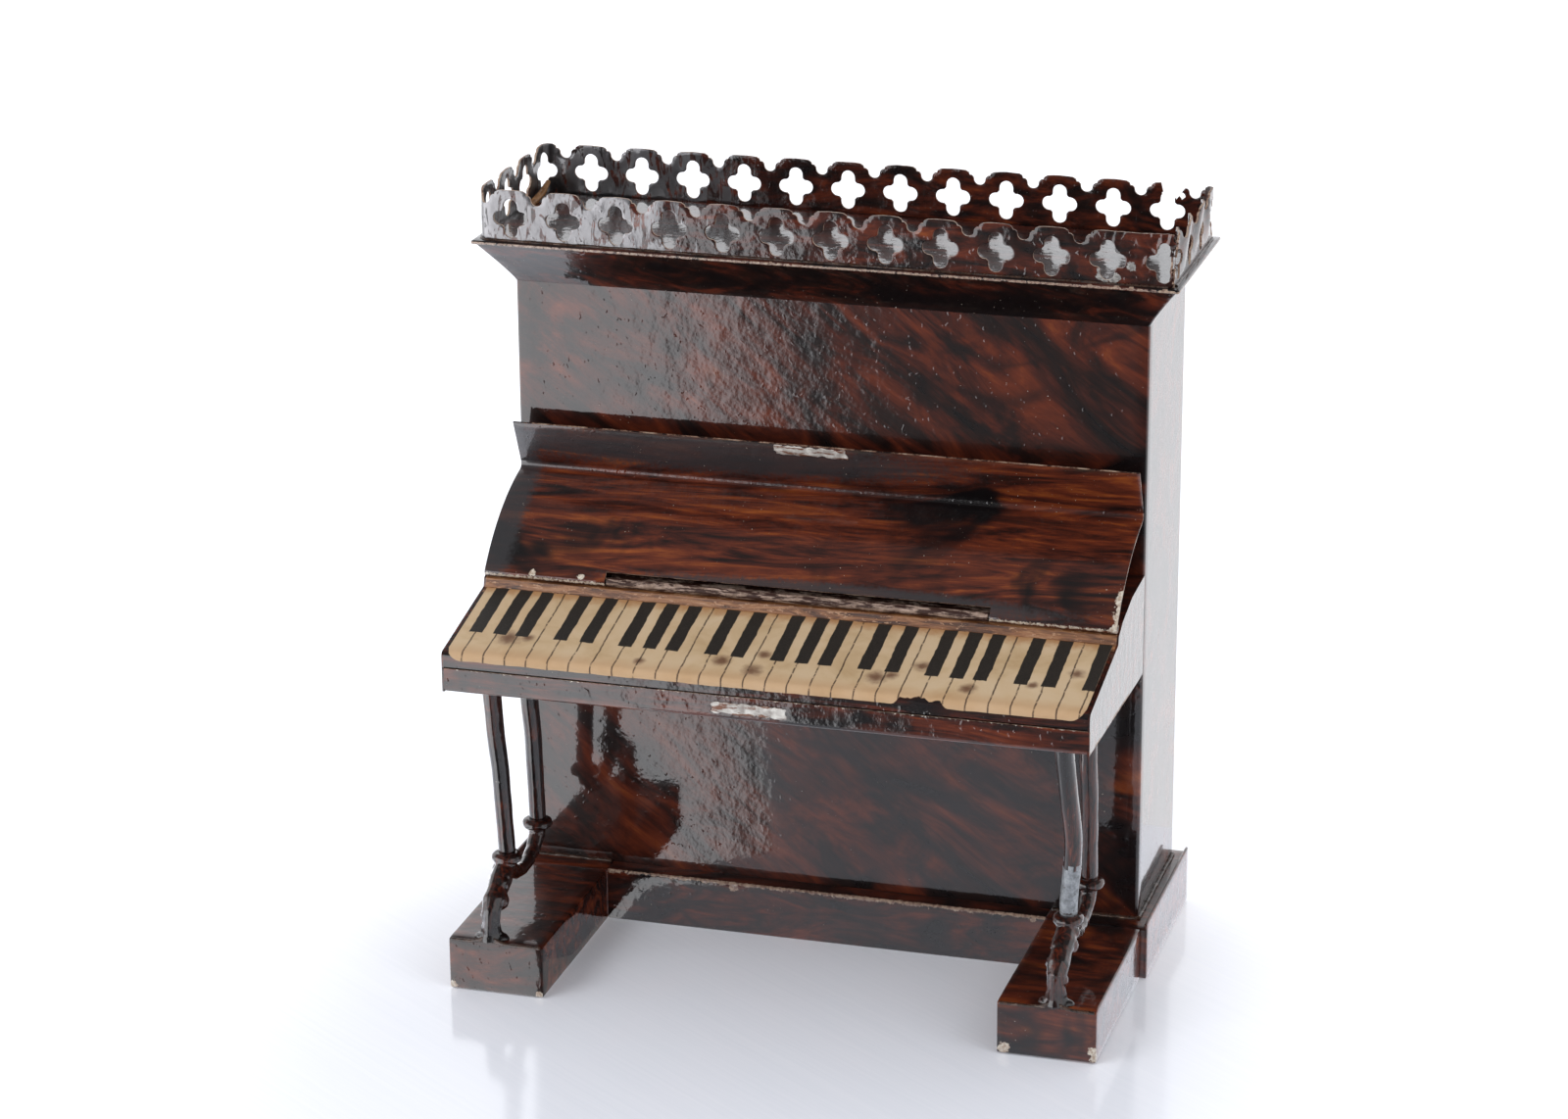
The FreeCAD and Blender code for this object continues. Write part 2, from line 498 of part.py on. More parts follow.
def make_hinge():
    """The fixed knuckle with its tongue on the shelf, and the wire pin."""
    length, radius = "Sizes.fixed_knuckle", "Sizes.knuckle_radius"
    bore = "(Sizes.knuckle_radius - Sizes.gauge)"
    pin_length = "(Sizes.case_width - 2 * Sizes.fall_margin)"
    run = ["(%s - %s)" % (end, start) for start, end in zip(RISER_TOP, SHELF_FRONT)]
    slant = "sqrt(%s ^ 2 + %s ^ 2)" % (run[0], run[1])
    lift = ["(-%s * %s / %s)" % (GAUGE, run[1], slant), "(%s * %s / %s)" % (GAUGE, run[0], slant)]
    # The tongue starts a third of the way up the shelf's front, clear of the moving panel's root.
    start = ["(%s + %s / 3)" % (place, rise) for place, rise in zip(RISER_TOP, run)]
    tongue = [start, SHELF_FRONT, ["%s + %s" % pair for pair in zip(SHELF_FRONT, lift)],
              ["%s + %s" % pair for pair in zip(start, lift)]]
    strip = extrusion("hinge_tongue", outline("hinge_tongue", tongue, SIDE_VIEW), length)
    knuckle = rod("fixed_knuckle", radius, length, "0", HINGE_Y, HINGE_Z)
    hole = rod("fixed_bore", bore, "2 * " + length, "0", HINGE_Y, HINGE_Z)
    sub_part(cut("hinge_leaf", fuse("hinge_leaf_blank", [strip, knuckle]), hole), "hinge_leaf")

    pin = rod("hinge_pin", "%s - Sizes.pin_clearance" % bore, pin_length, "0", HINGE_Y, HINGE_Z)
    bind(pin, y="%s + %s" % (CASE_FRONT_Y, HINGE_Y))
    pin.Label = "hinge_pin"
    sub_parts.append(pin)


def make_fall():
    """One sheet: rolled knuckles, bowed panel, crease and bent-over lip, shown open."""
    width = "(Sizes.case_width - 2 * Sizes.fall_margin)"
    radius, gap = "Sizes.knuckle_radius", "Sizes.knuckle_gap"
    root = ("%s + %s * cos(Sizes.fall_root * 1 deg)" % (HINGE_Y, radius),
            "%s + %s * sin(Sizes.fall_root * 1 deg)" % (HINGE_Z, radius))
    path = [root, (CREASE_Y, CREASE_Z), (LIP_Y, LIP_Z)]
    panel = bent_sheet("fall_panel", path, width, arcs={0: ("Sizes.fall_bow", "right")})
    roll = rod("fall_roll", radius, width, "0", HINGE_Y, HINGE_Z)
    bore = rod("fall_bore", "%s - %s" % (radius, GAUGE), "2 * " + width, "0", HINGE_Y, HINGE_Z)
    room = rod("fall_notch", "%s + %s / 2" % (radius, gap), "(Sizes.fixed_knuckle + 2 * %s)" % gap,
               "0", HINGE_Y, HINGE_Z)
    sub_part(cut("fall", fuse("fall_blank", [panel, roll]), fuse("fall_room", [bore, room])), "fall")

    back_y, back_z = "(-Sizes.catch_height * %s)" % LIP_DY, "(-Sizes.catch_height * %s)" % LIP_DZ
    out_y, out_z = "(-Sizes.catch_thickness * %s)" % LIP_DZ, "(Sizes.catch_thickness * %s)" % LIP_DY
    corners = [(LIP_Y, LIP_Z), (LIP_Y + " + " + out_y, LIP_Z + " + " + out_z),
               ("%s + %s + %s" % (LIP_Y, back_y, out_y), "%s + %s + %s" % (LIP_Z, back_z, out_z)),
               (LIP_Y + " + " + back_y, LIP_Z + " + " + back_z)]
    patch = extrusion("fall_catch_solder", outline("fall_catch", corners, SIDE_VIEW), "Sizes.catch_width")
    bind(patch, x="Sizes.catch_centre")
    sub_part(patch, "fall_catch_solder")


def make_legs():
    """On each side a cast scroll with two collars, and two slim columns up to the keybed."""
    for side, sign in (("left", "-"), ("right", "")):
        x = sign + LEG_X
        parts = []
        for name, steps, bar in (("scroll_", SCROLL_STEPS, "Sizes.scroll_bar"),
                                 ("link_", LINK_STEPS, "Sizes.link_bar")):
            path = [("(%s + %s)" % (y, along), "(%s + %s)" % (z, up)) for y, along, z, up in steps]
            strip = bent_sheet(name + side, path, "Sizes.leg_thickness", bar)
            parts.append(bind(strip, x=x))
        for tag, y, head_y in (("front", FRONT_COLLAR, FRONT_HEAD), ("rear", REAR_COLLAR, REAR_HEAD)):
            collar = document.addObject("Part::Cylinder", "collar_%s_%s" % (tag, side))
            parts.append(bind(collar, Radius="Sizes.collar_radius", Height="Sizes.collar_rise",
                              x=x, y=y, z=COLLAR_FOOT))
            foot_z = "(%s + Sizes.collar_rise)" % COLLAR_FOOT
            head_z = "(%s + %s * (%s + Sizes.column_head) - Sizes.solder_gap)" % (
                TRAY_END_Z, TRAY_SLOPE, head_y)
            ends = []
            for end, radius, at_y, at_z in (("foot", "Sizes.column_foot", y, foot_z),
                                            ("head", "Sizes.column_head", head_y, head_z)):
                ring = document.addObject("Part::Circle", "column_%s_%s_%s" % (tag, side, end))
                ends.append(bind(ring, Radius=radius, x=x, y=at_y, z=at_z))
            column = document.addObject("Part::Loft", "column_%s_%s" % (tag, side))
            column.Sections = ends
            column.Solid = True
            column.Ruled = True
            sub_part(column, "column_%s_%s" % (tag, side))
        sub_part(fuse("scroll_bracket_" + side, parts), "scroll_bracket_" + side)


def mirrored(sign, low, high):
    """Low x and width of a stretch from low to high, or of its mirror image on the left."""
    return (low if sign > 0 else "-" + high), "(%s - %s)" % (high, low)


def make_feet():
    """Each foot is a folded front box and a folded rear box on one sole; a rail joins the two."""
    seam = "(-Sizes.foot_seam)"
    tail = "(%s + Sizes.foot_tail)" % DEPTH
    head_room = "%s - %s" % (FLOOR, GAUGE)
    for side, sign in (("left", -1), ("right", 1)):
        name = "foot_front_" + side
        x, width = mirrored(sign, FOOT_INNER, FOOT_OUTER)
        length = "(%s - %s)" % (seam, FOOT_FRONT)
        front = box(name + "_box", (x, FOOT_FRONT, "0"), (width, length, FLOOR))
        room = box(name + "_room", ("%s + %s" % (x, GAUGE), "%s + %s" % (FOOT_FRONT, GAUGE), "0"),
                   ("%s - 2 * %s" % (width, GAUGE), "%s - %s" % (length, GAUGE), head_room))
        sub_part(cut(name, front, room), name)

        name = "foot_rear_" + side
        x, width = mirrored(sign, FOOT_INNER, FOOT_REAR_OUTER)
        length = "(%s - %s)" % (tail, seam)
        rear = box(name + "_box", (x, seam, "0"), (width, length, FLOOR))
        room = box(name + "_room", ("%s + %s" % (x, GAUGE), seam, "0"),
                   ("%s - 2 * %s" % (width, GAUGE), "%s - %s" % (length, GAUGE), head_room))
        edge_x = mirrored(sign, "(%s - %s)" % (FOOT_REAR_OUTER, GAUGE), FOOT_REAR_OUTER)[0]
        edge = box(name + "_edge", (edge_x, seam, "0"),
                   (GAUGE, length, "%s + Sizes.gutter_rise" % FLOOR))
        sub_part(cut(name, fuse(name + "_blank", [rear, edge]), room), name)

        soles = (("front", FOOT_OUTER, "(%s + %s)" % (FOOT_FRONT, GAUGE), seam),
                 ("rear", FOOT_REAR_OUTER, seam, "(%s - %s)" % (tail, GAUGE)))
        for section, outer, start, end in soles:
            x, width = mirrored(sign, "(%s + %s)" % (FOOT_INNER, GAUGE), "(%s - %s)" % (outer, GAUGE))
            name = "foot_sole_%s_%s" % (section, side)
            sole = box(name, (x, "0", "0"), (width, "%s - %s" % (end, start), GAUGE))
            bind(sole, y="%s + %s" % (CASE_FRONT_Y, start))
            sole.Label = name
            sub_parts.append(sole)

    rail = [("-Sizes.rail_reach", "0"), ("-Sizes.rail_reach", FLOOR), ("Sizes.rail_tuck", FLOOR)]
    sub_part(bent_sheet("base_rail", rail, "2 * " + FOOT_INNER), "base_rail")


def check_model():
    """Stop if any object failed, or any sub-part is not one valid solid."""
    failed = [item.Name for item in document.Objects
              if "Invalid" in item.State or "Error" in item.State]
    if failed:
        raise RuntimeError("failed objects: " + ", ".join(failed))
    for item in sub_parts:
        if item.Shape.isNull() or not item.Shape.isValid() or len(item.Shape.Solids) != 1:
            raise RuntimeError("bad shape: " + item.Label)


make_case()
make_cornice()
make_gallery()
make_keybed()
make_hinge()
make_fall()
make_legs()
make_feet()
document.recompute()
check_model()

os.makedirs("parts", exist_ok=True)
for item in sub_parts:
    item.Shape.exportStep(os.path.join("parts", item.Label + ".step"))
print("hinge axis y %.4f z %.4f" % (number(CASE_FRONT_Y + " + " + HINGE_Y), number(HINGE_Z)))
print("wrote %d sub-parts" % len(sub_parts))
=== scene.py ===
"""Looks of the dolls' house upright piano: varnished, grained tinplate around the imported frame.

Shapes are worked out in millimetres from the frame's own boxes and become metres in piece().
"""
import json
from math import atan2, ceil, copysign, cos, degrees, dist, exp, pi, radians, sin, sqrt, tan
import bmesh
import bpy
from mathutils import Matrix, Vector, noise


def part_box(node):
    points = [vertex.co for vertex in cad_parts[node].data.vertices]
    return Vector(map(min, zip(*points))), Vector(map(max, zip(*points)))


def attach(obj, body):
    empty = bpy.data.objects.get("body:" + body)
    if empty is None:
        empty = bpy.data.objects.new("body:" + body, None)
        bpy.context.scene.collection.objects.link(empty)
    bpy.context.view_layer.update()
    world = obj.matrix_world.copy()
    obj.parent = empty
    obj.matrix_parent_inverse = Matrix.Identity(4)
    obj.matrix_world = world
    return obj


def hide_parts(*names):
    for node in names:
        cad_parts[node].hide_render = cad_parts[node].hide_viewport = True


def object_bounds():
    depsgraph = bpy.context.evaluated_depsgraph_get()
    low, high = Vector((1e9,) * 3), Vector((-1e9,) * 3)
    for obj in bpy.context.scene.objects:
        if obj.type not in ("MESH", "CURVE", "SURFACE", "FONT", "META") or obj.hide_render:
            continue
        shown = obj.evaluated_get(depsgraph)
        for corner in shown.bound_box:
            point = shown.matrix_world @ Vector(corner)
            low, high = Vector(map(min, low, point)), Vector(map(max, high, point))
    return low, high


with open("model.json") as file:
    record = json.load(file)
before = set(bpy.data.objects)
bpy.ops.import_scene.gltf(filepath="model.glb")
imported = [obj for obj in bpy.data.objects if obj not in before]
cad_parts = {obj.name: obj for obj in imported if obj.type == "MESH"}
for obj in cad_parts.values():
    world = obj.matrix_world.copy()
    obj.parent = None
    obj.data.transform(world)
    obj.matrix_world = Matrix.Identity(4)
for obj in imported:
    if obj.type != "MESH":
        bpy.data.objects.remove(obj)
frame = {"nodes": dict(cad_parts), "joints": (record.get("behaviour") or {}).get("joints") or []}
cad_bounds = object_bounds()

MM = 0.001
GAUGE = 0.35


# ---- camera

def make_camera():
    """A long lens, a little to the right and above, aimed close to the piano's middle."""
    azimuth, elevation, roll = radians(16.46), radians(19.20), radians(-0.41)
    distance, aim = 0.7429, Vector((-0.0063, -0.0001, 0.0707))
    forward = Vector((-sin(azimuth) * cos(elevation),
                      cos(azimuth) * cos(elevation), -sin(elevation)))
    right = Vector((cos(azimuth), sin(azimuth), 0))
    up = right.cross(forward)
    right, up = (cos(roll) * right + sin(roll) * up,
                 cos(roll) * up - sin(roll) * right)
    data = bpy.data.cameras.new("camera")
    data.lens = 100.5
    data.sensor_width = 36
    data.clip_start = 0.01
    camera = bpy.data.objects.new("camera", data)
    axes = Matrix((right, up, -forward)).transposed()
    camera.matrix_world = Matrix.Translation(aim - forward * distance) @ axes.to_4x4()
    bpy.context.scene.collection.objects.link(camera)
    bpy.context.scene.camera = camera


# ---- materials

class Nodes:
    """A small helper that adds nodes to one tree and links them."""

    def __init__(self, tree):
        self.tree = tree

    def add(self, kind, settings=None, **inputs):
        node = self.tree.nodes.new(kind)
        for key, value in (settings or {}).items():
            setattr(node, key, value)
        for key, value in inputs.items():
            self.put(node, key.replace("_", " "), value)
        return node

    def put(self, node, key, value):
        socket = node.inputs[int(key)] if key.isdigit() else node.inputs[key]
        if isinstance(value, bpy.types.NodeSocket):
            self.tree.links.new(value, socket)
        else:
            socket.default_value = value

    def place(self):
        """Object coordinates, in metres."""
        return self.add("ShaderNodeTexCoord").outputs["Object"]

    def math(self, operation, *values, clamp=False):
        node = self.add("ShaderNodeMath", {"operation": operation, "use_clamp": clamp})
        for index, value in enumerate(values):
            self.put(node, str(index), value)
        return node.outputs[0]

    def plus(self, first, second, clamp=False):
        return self.math("ADD", first, second, clamp=clamp)

    def minus(self, first, second):
        return self.math("SUBTRACT", first, second)

    def times(self, first, second):
        return self.math("MULTIPLY", first, second)

    def scaled(self, value, scale, offset):
        return self.math("MULTIPLY_ADD", value, scale, offset)

    def most(self, first, second):
        return self.math("MAXIMUM", first, second)

    def vector(self, operation, first, second=None):
        node = self.add("ShaderNodeVectorMath", {"operation": operation})
        self.put(node, "0", first)
        if second is not None:
            self.put(node, "1", second)
        return node.outputs["Value" if operation in ("LENGTH", "DISTANCE") else "Vector"]

    def noise(self, place, size, detail=3.0, rough=0.55, warp=0.0):
        """Noise whose features are about size millimetres; place is in metres."""
        if isinstance(size, (int, float)):
            size = (size, size, size)
        scaled = self.add("ShaderNodeMapping", Vector=place,
                          Scale=tuple(1.0 / (MM * length) for length in size))
        node = self.add("ShaderNodeTexNoise", Vector=scaled.outputs[0], Scale=1.0, Detail=detail,
                        Roughness=rough, Distortion=warp)
        return node.outputs["Fac"]

    def ramp(self, factor, *stops):
        node = self.add("ShaderNodeValToRGB", Fac=factor)
        elements = node.color_ramp.elements
        while len(elements) < len(stops):
            elements.new(0.5)
        for element, (place, colour) in zip(elements, stops):
            element.position = place
            element.color = (*colour, 1)
        return node.outputs[0]

    def step(self, value, low, high):
        """0 below low, 1 above high, smooth between."""
        node = self.add("ShaderNodeMapRange", {"interpolation_type": "SMOOTHSTEP"},
                        Value=value, From_Min=low, From_Max=high)
        return node.outputs[0]

    def fall_off(self, value, low, high):
        """1 below low, 0 above high, smooth between."""
        return self.minus(1.0, self.step(value, low, high))

    def mix(self, factor, first, second):
        node = self.add("ShaderNodeMix", {"data_type": "RGBA"})
        for index, value in ((0, factor), (6, first), (7, second)):
            if isinstance(value, tuple):
                value = (*value, 1)
            self.put(node, str(index), value)
        return node.outputs[2]


def material(name):
    """A new material with an empty tree but for a linked Principled shader."""
    made = bpy.data.materials.new(name)
    made.use_nodes = True
    shader = made.node_tree.nodes["Principled BSDF"]
    return made, Nodes(made.node_tree), shader


def turned(nodes, place, angles):
    """The place seen in a frame turned by the given angles in degrees."""
    turn = tuple(radians(angle) for angle in angles)
    return nodes.add("ShaderNodeMapping", Vector=place, Rotation=turn).outputs[0]


def bump(nodes, shader, layers, coat=True):
    """Chain bump layers: (height, strength, distance in millimetres); a negative strength sinks."""
    normal = None
    for height, strength, depth in layers:
        node = nodes.add("ShaderNodeBump", {"invert": strength < 0}, Height=height,
                         Strength=abs(strength), Distance=depth * MM)
        if normal:
            nodes.put(node, "Normal", normal)
        normal = node.outputs[0]
    nodes.put(shader, "Normal", normal)
    if coat:
        nodes.put(shader, "Coat Normal", normal)


SOOT = (0.0045, 0.0032, 0.0036)
UMBER = (0.014, 0.0052, 0.0040)
RED = (0.045, 0.0098, 0.0058)
RUST = (0.110, 0.0215, 0.0085)
AMBER = (0.250, 0.062, 0.013)
PRIMER = (0.17, 0.10, 0.078)
BARE = (0.36, 0.265, 0.20)
CREAM = (0.62, 0.57, 0.49)
# Grey-black of the painted shade on the fall.
PAINTED_SHADE_GREY = (0.034, 0.033, 0.036)
TIN_GREY = (0.15, 0.145, 0.15)
FLAME_SHARE, FIBRE_SHARE = 0.90, 0.08


def rosewood(name, turn=(0, 0, 0), length=26.0, width=7.0, shift=(0, 0, 0), dark=0.0, warm=0.0,
             chips=(), wear=0.0, lumps=0.5, dust=1.0, coat=1.0, coat_roughness=0.04, streaks=0.22,
             under=(BARE, CREAM), tin=None, painted_shade=()):
    """Painted rosewood grain under a thick, slightly lumpy varnish.

    The grain runs along X before turn; length and width are the size of its flames. chips are bare
    spots (x, y, z, radius), the shade places (centre, reach) are painted shade, darkened to
    grey-black, and tin is the part of X over which the paint thins to grey metal, all in millimetres.
    wear is how far the mesh's wear attribute rubs the paint through to the under colours.
    """
    made, nodes, shader = material("rosewood_" + name)
    place = nodes.place()
    moved = nodes.add("ShaderNodeMapping", Vector=place,
                      Location=tuple(amount * MM for amount in shift)).outputs[0]
    along = turned(nodes, moved, turn)
    flame = nodes.noise(along, (length, width, width), 5.0, 0.60, 1.9)
    streak = nodes.noise(along, (length * 0.6, 1.5, 1.5), 4.0, 0.6, 0.8)
    fibre = nodes.noise(along, (6.0, 0.28, 0.28), 3.0, 0.6)
    tone = nodes.plus(nodes.times(flame, FLAME_SHARE), nodes.times(streak, streaks))
    tone = nodes.plus(tone, nodes.times(fibre, FIBRE_SHARE))
    tone = nodes.plus(tone, 0.5 - (FLAME_SHARE + streaks + FIBRE_SHARE) / 2 + warm - dark)
    colour = nodes.ramp(tone, (0.33, SOOT), (0.43, UMBER), (0.52, RED), (0.64, RUST), (0.80, AMBER))
    pool = nodes.noise(moved, (24.0, 24.0, 17.0), 3.0, 0.6, 0.8)
    colour = nodes.mix(nodes.step(pool, 0.50 - dark * 0.5, 0.66 - dark * 0.5), colour, SOOT)
    mottle = nodes.noise(moved, 0.9, 4.0, 0.7)
    colour = nodes.mix(nodes.times(nodes.step(mottle, 0.55, 0.8), 0.35), colour, UMBER)
    ragged = nodes.noise(moved, 0.75, 4.0, 0.65)
    metal = 0.0
    if tin:
        x = nodes.add("ShaderNodeSeparateXYZ", Vector=place).outputs[0]
        painted = nodes.step(nodes.math("DIVIDE", x, MM), *tin)
        drips = nodes.noise(moved, (1.3, 1.3, 5.0), 4.0, 0.65, 0.8)
        metal = nodes.step(nodes.scaled(painted, -0.5, nodes.times(drips, 1.6)), 0.66, 0.76)
        colour = nodes.mix(metal, colour, TIN_GREY)
    specks = nodes.step(nodes.noise(moved, 0.34, 1.0, 0.5), 0.765, 0.79)
    specks = nodes.times(specks, nodes.step(nodes.noise(moved, 9.0, 2.0), 0.46, 0.60))
    bare = nodes.times(specks, dust)
    if wear:
        painted = nodes.add("ShaderNodeAttribute", {"attribute_name": "wear"}).outputs["Fac"]
        lost = nodes.plus(nodes.times(painted, wear), ragged)
        bare = nodes.most(bare, nodes.step(lost, 1.02, 1.12))
    # Painted shade: each place is darkened to grey-black with a ragged edge.
    for centre, reach in painted_shade:
        away = nodes.vector("SUBTRACT", place, [value * MM for value in centre])
        share = nodes.vector("DIVIDE", away, [value * MM for value in reach])
        edge = nodes.plus(nodes.vector("LENGTH", share), nodes.times(ragged, 0.8))
        black = nodes.minus(0.85, nodes.times(nodes.step(edge, 1.15, 1.65), 0.85))
        colour = nodes.mix(black, colour, PAINTED_SHADE_GREY)
    for *centre, radius in chips:
        away = nodes.vector("DISTANCE", place, [value * MM for value in centre])
        chip = nodes.minus(nodes.times(ragged, 1.7 * radius * MM), away)
        bare = nodes.most(bare, nodes.step(chip, 0.0, 0.08 * MM))
    shades = nodes.ramp(nodes.noise(moved, 0.5, 3.0), (0.38, under[0]), (0.62, under[1]))
    colour = nodes.mix(bare, colour, shades)
    nodes.put(shader, "Base Color", colour)
    nodes.put(shader, "Metallic", metal)
    rough = nodes.plus(nodes.times(mottle, 0.25), 0.22)
    rough = nodes.plus(rough, nodes.times(bare, 0.3), clamp=True)
    nodes.put(shader, "Roughness", rough)
    nodes.put(shader, "Specular IOR Level", 0.12 if coat > 0.5 else 0.0)
    nodes.put(shader, "Coat Weight", coat)
    nodes.put(shader, "Coat Roughness", coat_roughness)
    peel = nodes.noise(moved, 0.60, 2.0, 0.5)
    swell = nodes.noise(moved, 2.6, 2.0, 0.5)
    pimples = nodes.step(nodes.noise(moved, 1.1, 1.0), 0.66, 0.80)
    bump(nodes, shader, [(swell, 0.8 * lumps, 0.14), (peel, 0.7 * lumps, 0.030),
                         (pimples, 0.8 * lumps, 0.06), (fibre, 0.10, 0.01), (bare, -0.6, 0.04)])
    return made


def bare_edge(name, dark=0.45):
    """A cut tin edge: brown paint rubbed through to pinkish primer and cream tin."""
    made, nodes, shader = material(name)
    place = nodes.place()
    patches = nodes.noise(place, (2.6, 2.6, 2.6), 4.0, 0.7)
    fine = nodes.noise(place, 0.4, 3.0, 0.6)
    tone = nodes.plus(patches, nodes.times(fine, 0.35))
    colour = nodes.ramp(tone, (dark + 0.10, SOOT), (dark + 0.20, UMBER),
                        (dark + 0.28, (0.20, 0.11, 0.075)),
                        (dark + 0.40, BARE))
    nodes.put(shader, "Base Color", colour)
    nodes.put(shader, "Roughness", nodes.plus(nodes.times(fine, 0.4), 0.3))
    bump(nodes, shader, [(fine, 0.5, 0.03)], coat=False)
    return made


def old_metal(name, low, high, metallic, size=1.2, stain=UMBER, stain_level=0.62, roughness=0.35):
    """Dull grey metal or solder with brown left in its hollows."""
    made, nodes, shader = material(name)
    place = nodes.place()
    grey = nodes.ramp(nodes.noise(place, size, 4.0, 0.65), (0.35, low), (0.65, high))
    left = nodes.step(nodes.noise(place, (4.0, 0.7, 0.7), 4.0, 0.7), stain_level - 0.08,
                      stain_level)
    nodes.put(shader, "Base Color", nodes.mix(left, grey, stain))
    nodes.put(shader, "Metallic", metallic)
    fine = nodes.noise(place, 0.35, 3.0, 0.6)
    nodes.put(shader, "Roughness", nodes.plus(nodes.times(fine, 0.35), roughness))
    bump(nodes, shader, [(fine, 0.6, 0.05), (left, 0.5, 0.05)], coat=False)
    return made


def riser_paint(name):
    """Ochre primer that shows where the brown paint has flaked off behind the keys."""
    made, nodes, shader = material(name)
    place = nodes.place()
    smear = nodes.noise(place, (9.0, 1.0, 1.0), 5.0, 0.7, 0.8)
    colour = nodes.ramp(smear, (0.34, (0.022, 0.008, 0.006)), (0.46, (0.13, 0.048, 0.018)),
                        (0.56, (0.27, 0.115, 0.045)), (0.68, (0.38, 0.20, 0.10)))
    flakes = nodes.noise(place, (1.6, 0.5, 0.5), 4.0, 0.7)
    colour = nodes.mix(nodes.step(flakes, 0.58, 0.64), colour, (0.42, 0.24, 0.14))
    nodes.put(shader, "Base Color", colour)
    nodes.put(shader, "Roughness", nodes.plus(nodes.times(flakes, 0.4), 0.25))
    nodes.put(shader, "Coat Weight", 0.35)
    nodes.put(shader, "Coat Roughness", 0.2)
    bump(nodes, shader, [(smear, 0.5, 0.05), (flakes, 0.7, 0.05)])
    return made


BURNS = ((-45.1, 6.1, 2.6), (-42.0, 6.6, 1.4), (-21.4, 2.9, 1.2), (-8.0, 5.5, 1.9),
         (-2.1, 3.5, 2.1), (-1.6, 8.5, 1.5), (18.4, 5.0, 2.2), (20.6, 6.0, 1.5),
         (33.9, 4.2, 1.7), (50.4, 11.6, 1.6), (44.0, 7.0, 1.2), (25.0, 9.5, 1.8))
BLACK_KEYS = (0.0, 1.13, 2.18, 3.99, 5.21, 7.0)


def keyboard_print(name, key_pitch, first_line, black_depth):
    """Printed keys on yellowed paper.

    The mesh's print attribute is (across, back from the front) in millimetres, as BURNS are, with
    a radius; BLACK_KEYS are their middles in white keys from the start of an octave.
    """
    made, nodes, shader = material(name)
    place = nodes.place()
    uv = nodes.add("ShaderNodeAttribute", {"attribute_name": "print"}).outputs["Vector"]
    parts = nodes.add("ShaderNodeSeparateXYZ", Vector=uv)
    wobble = nodes.noise(place, (1.4, 1.4, 1.4), 3.0, 0.6)
    sway = nodes.noise(place, (5.0, 5.0, 5.0), 2.0, 0.6)
    across = nodes.plus(parts.outputs[0], nodes.scaled(wobble, 0.26, -0.13))
    across = nodes.plus(across, nodes.scaled(sway, 0.5, -0.25))
    back = nodes.plus(parts.outputs[1], nodes.scaled(wobble, 0.5, -0.25))
    keys = nodes.math("DIVIDE", nodes.minus(across, first_line), key_pitch)
    nearest = nodes.math("ROUND", keys)
    off_line = nodes.math("ABSOLUTE", nodes.minus(keys, nearest))
    line = nodes.fall_off(off_line, 0.024, 0.050)
    faint = nodes.step(nodes.noise(place, 1.1, 3.0, 0.7), 0.30, 0.48)
    line = nodes.times(line, faint)
    in_octave = nodes.math("FLOORED_MODULO", keys, 7.0)
    blacks = None
    for centre in BLACK_KEYS:
        off = nodes.math("ABSOLUTE", nodes.minus(in_octave, centre))
        bar = nodes.fall_off(off, 0.300, 0.325)
        blacks = bar if blacks is None else nodes.most(blacks, bar)
    blacks = nodes.times(blacks, nodes.step(back, black_depth - 0.08, black_depth + 0.08))
    yellowing = nodes.noise(place, 9.0, 4.0, 0.6, 0.5)
    paper = nodes.ramp(yellowing, (0.30, (0.44, 0.305, 0.17)), (0.52, (0.53, 0.39, 0.245)),
                       (0.72, (0.56, 0.43, 0.29)))
    far = nodes.step(nodes.plus(parts.outputs[1], nodes.times(wobble, 3.0)), 19.5, 22.5)
    near = nodes.fall_off(nodes.minus(parts.outputs[1], sway), 0.2, 3.6)
    paper = nodes.mix(nodes.times(far, 0.75), paper, (0.33, 0.145, 0.045))
    paper = nodes.mix(nodes.times(near, 0.5), paper, (0.46, 0.27, 0.14))
    stains = None
    for x, depth, radius in BURNS:
        away = nodes.vector("DISTANCE", uv, (x, depth, 0))
        spread = nodes.plus(away, nodes.times(wobble, 0.9 * radius))
        spot = nodes.fall_off(spread, 0.55 * radius, 1.65 * radius)
        stains = spot if stains is None else nodes.most(stains, spot)
    paper = nodes.mix(nodes.times(stains, 0.85), paper, (0.10, 0.035, 0.018))
    paper = nodes.mix(nodes.times(line, 0.85), paper, (0.035, 0.020, 0.014))
    grain = nodes.noise(place, 0.22, 3.0, 0.7)
    flecks = nodes.step(nodes.noise(place, 0.5, 4.0, 0.7), 0.66, 0.74)
    ink = nodes.ramp(grain, (0.35, (0.013, 0.011, 0.010)), (0.72, (0.040, 0.034, 0.028)))
    ink = nodes.mix(nodes.times(flecks, 0.4), ink, (0.12, 0.09, 0.06))
    nodes.put(shader, "Base Color", nodes.mix(blacks, paper, ink))
    nodes.put(shader, "Roughness", nodes.scaled(grain, 0.3, 0.42))
    nodes.put(shader, "Specular IOR Level", 0.3)
    bump(nodes, shader, [(sway, 0.3, 0.2), (grain, 0.25, 0.02)], coat=False)
    return made


# Centre, and the distances in metres over which the floor's painted glow rises out of its painted
# shadow in front of the piano.
FLOOR_SHADE_CENTRE, FLOOR_SHADE_REACH = (0.0, -0.06, 0.0), (0.055, 0.14)


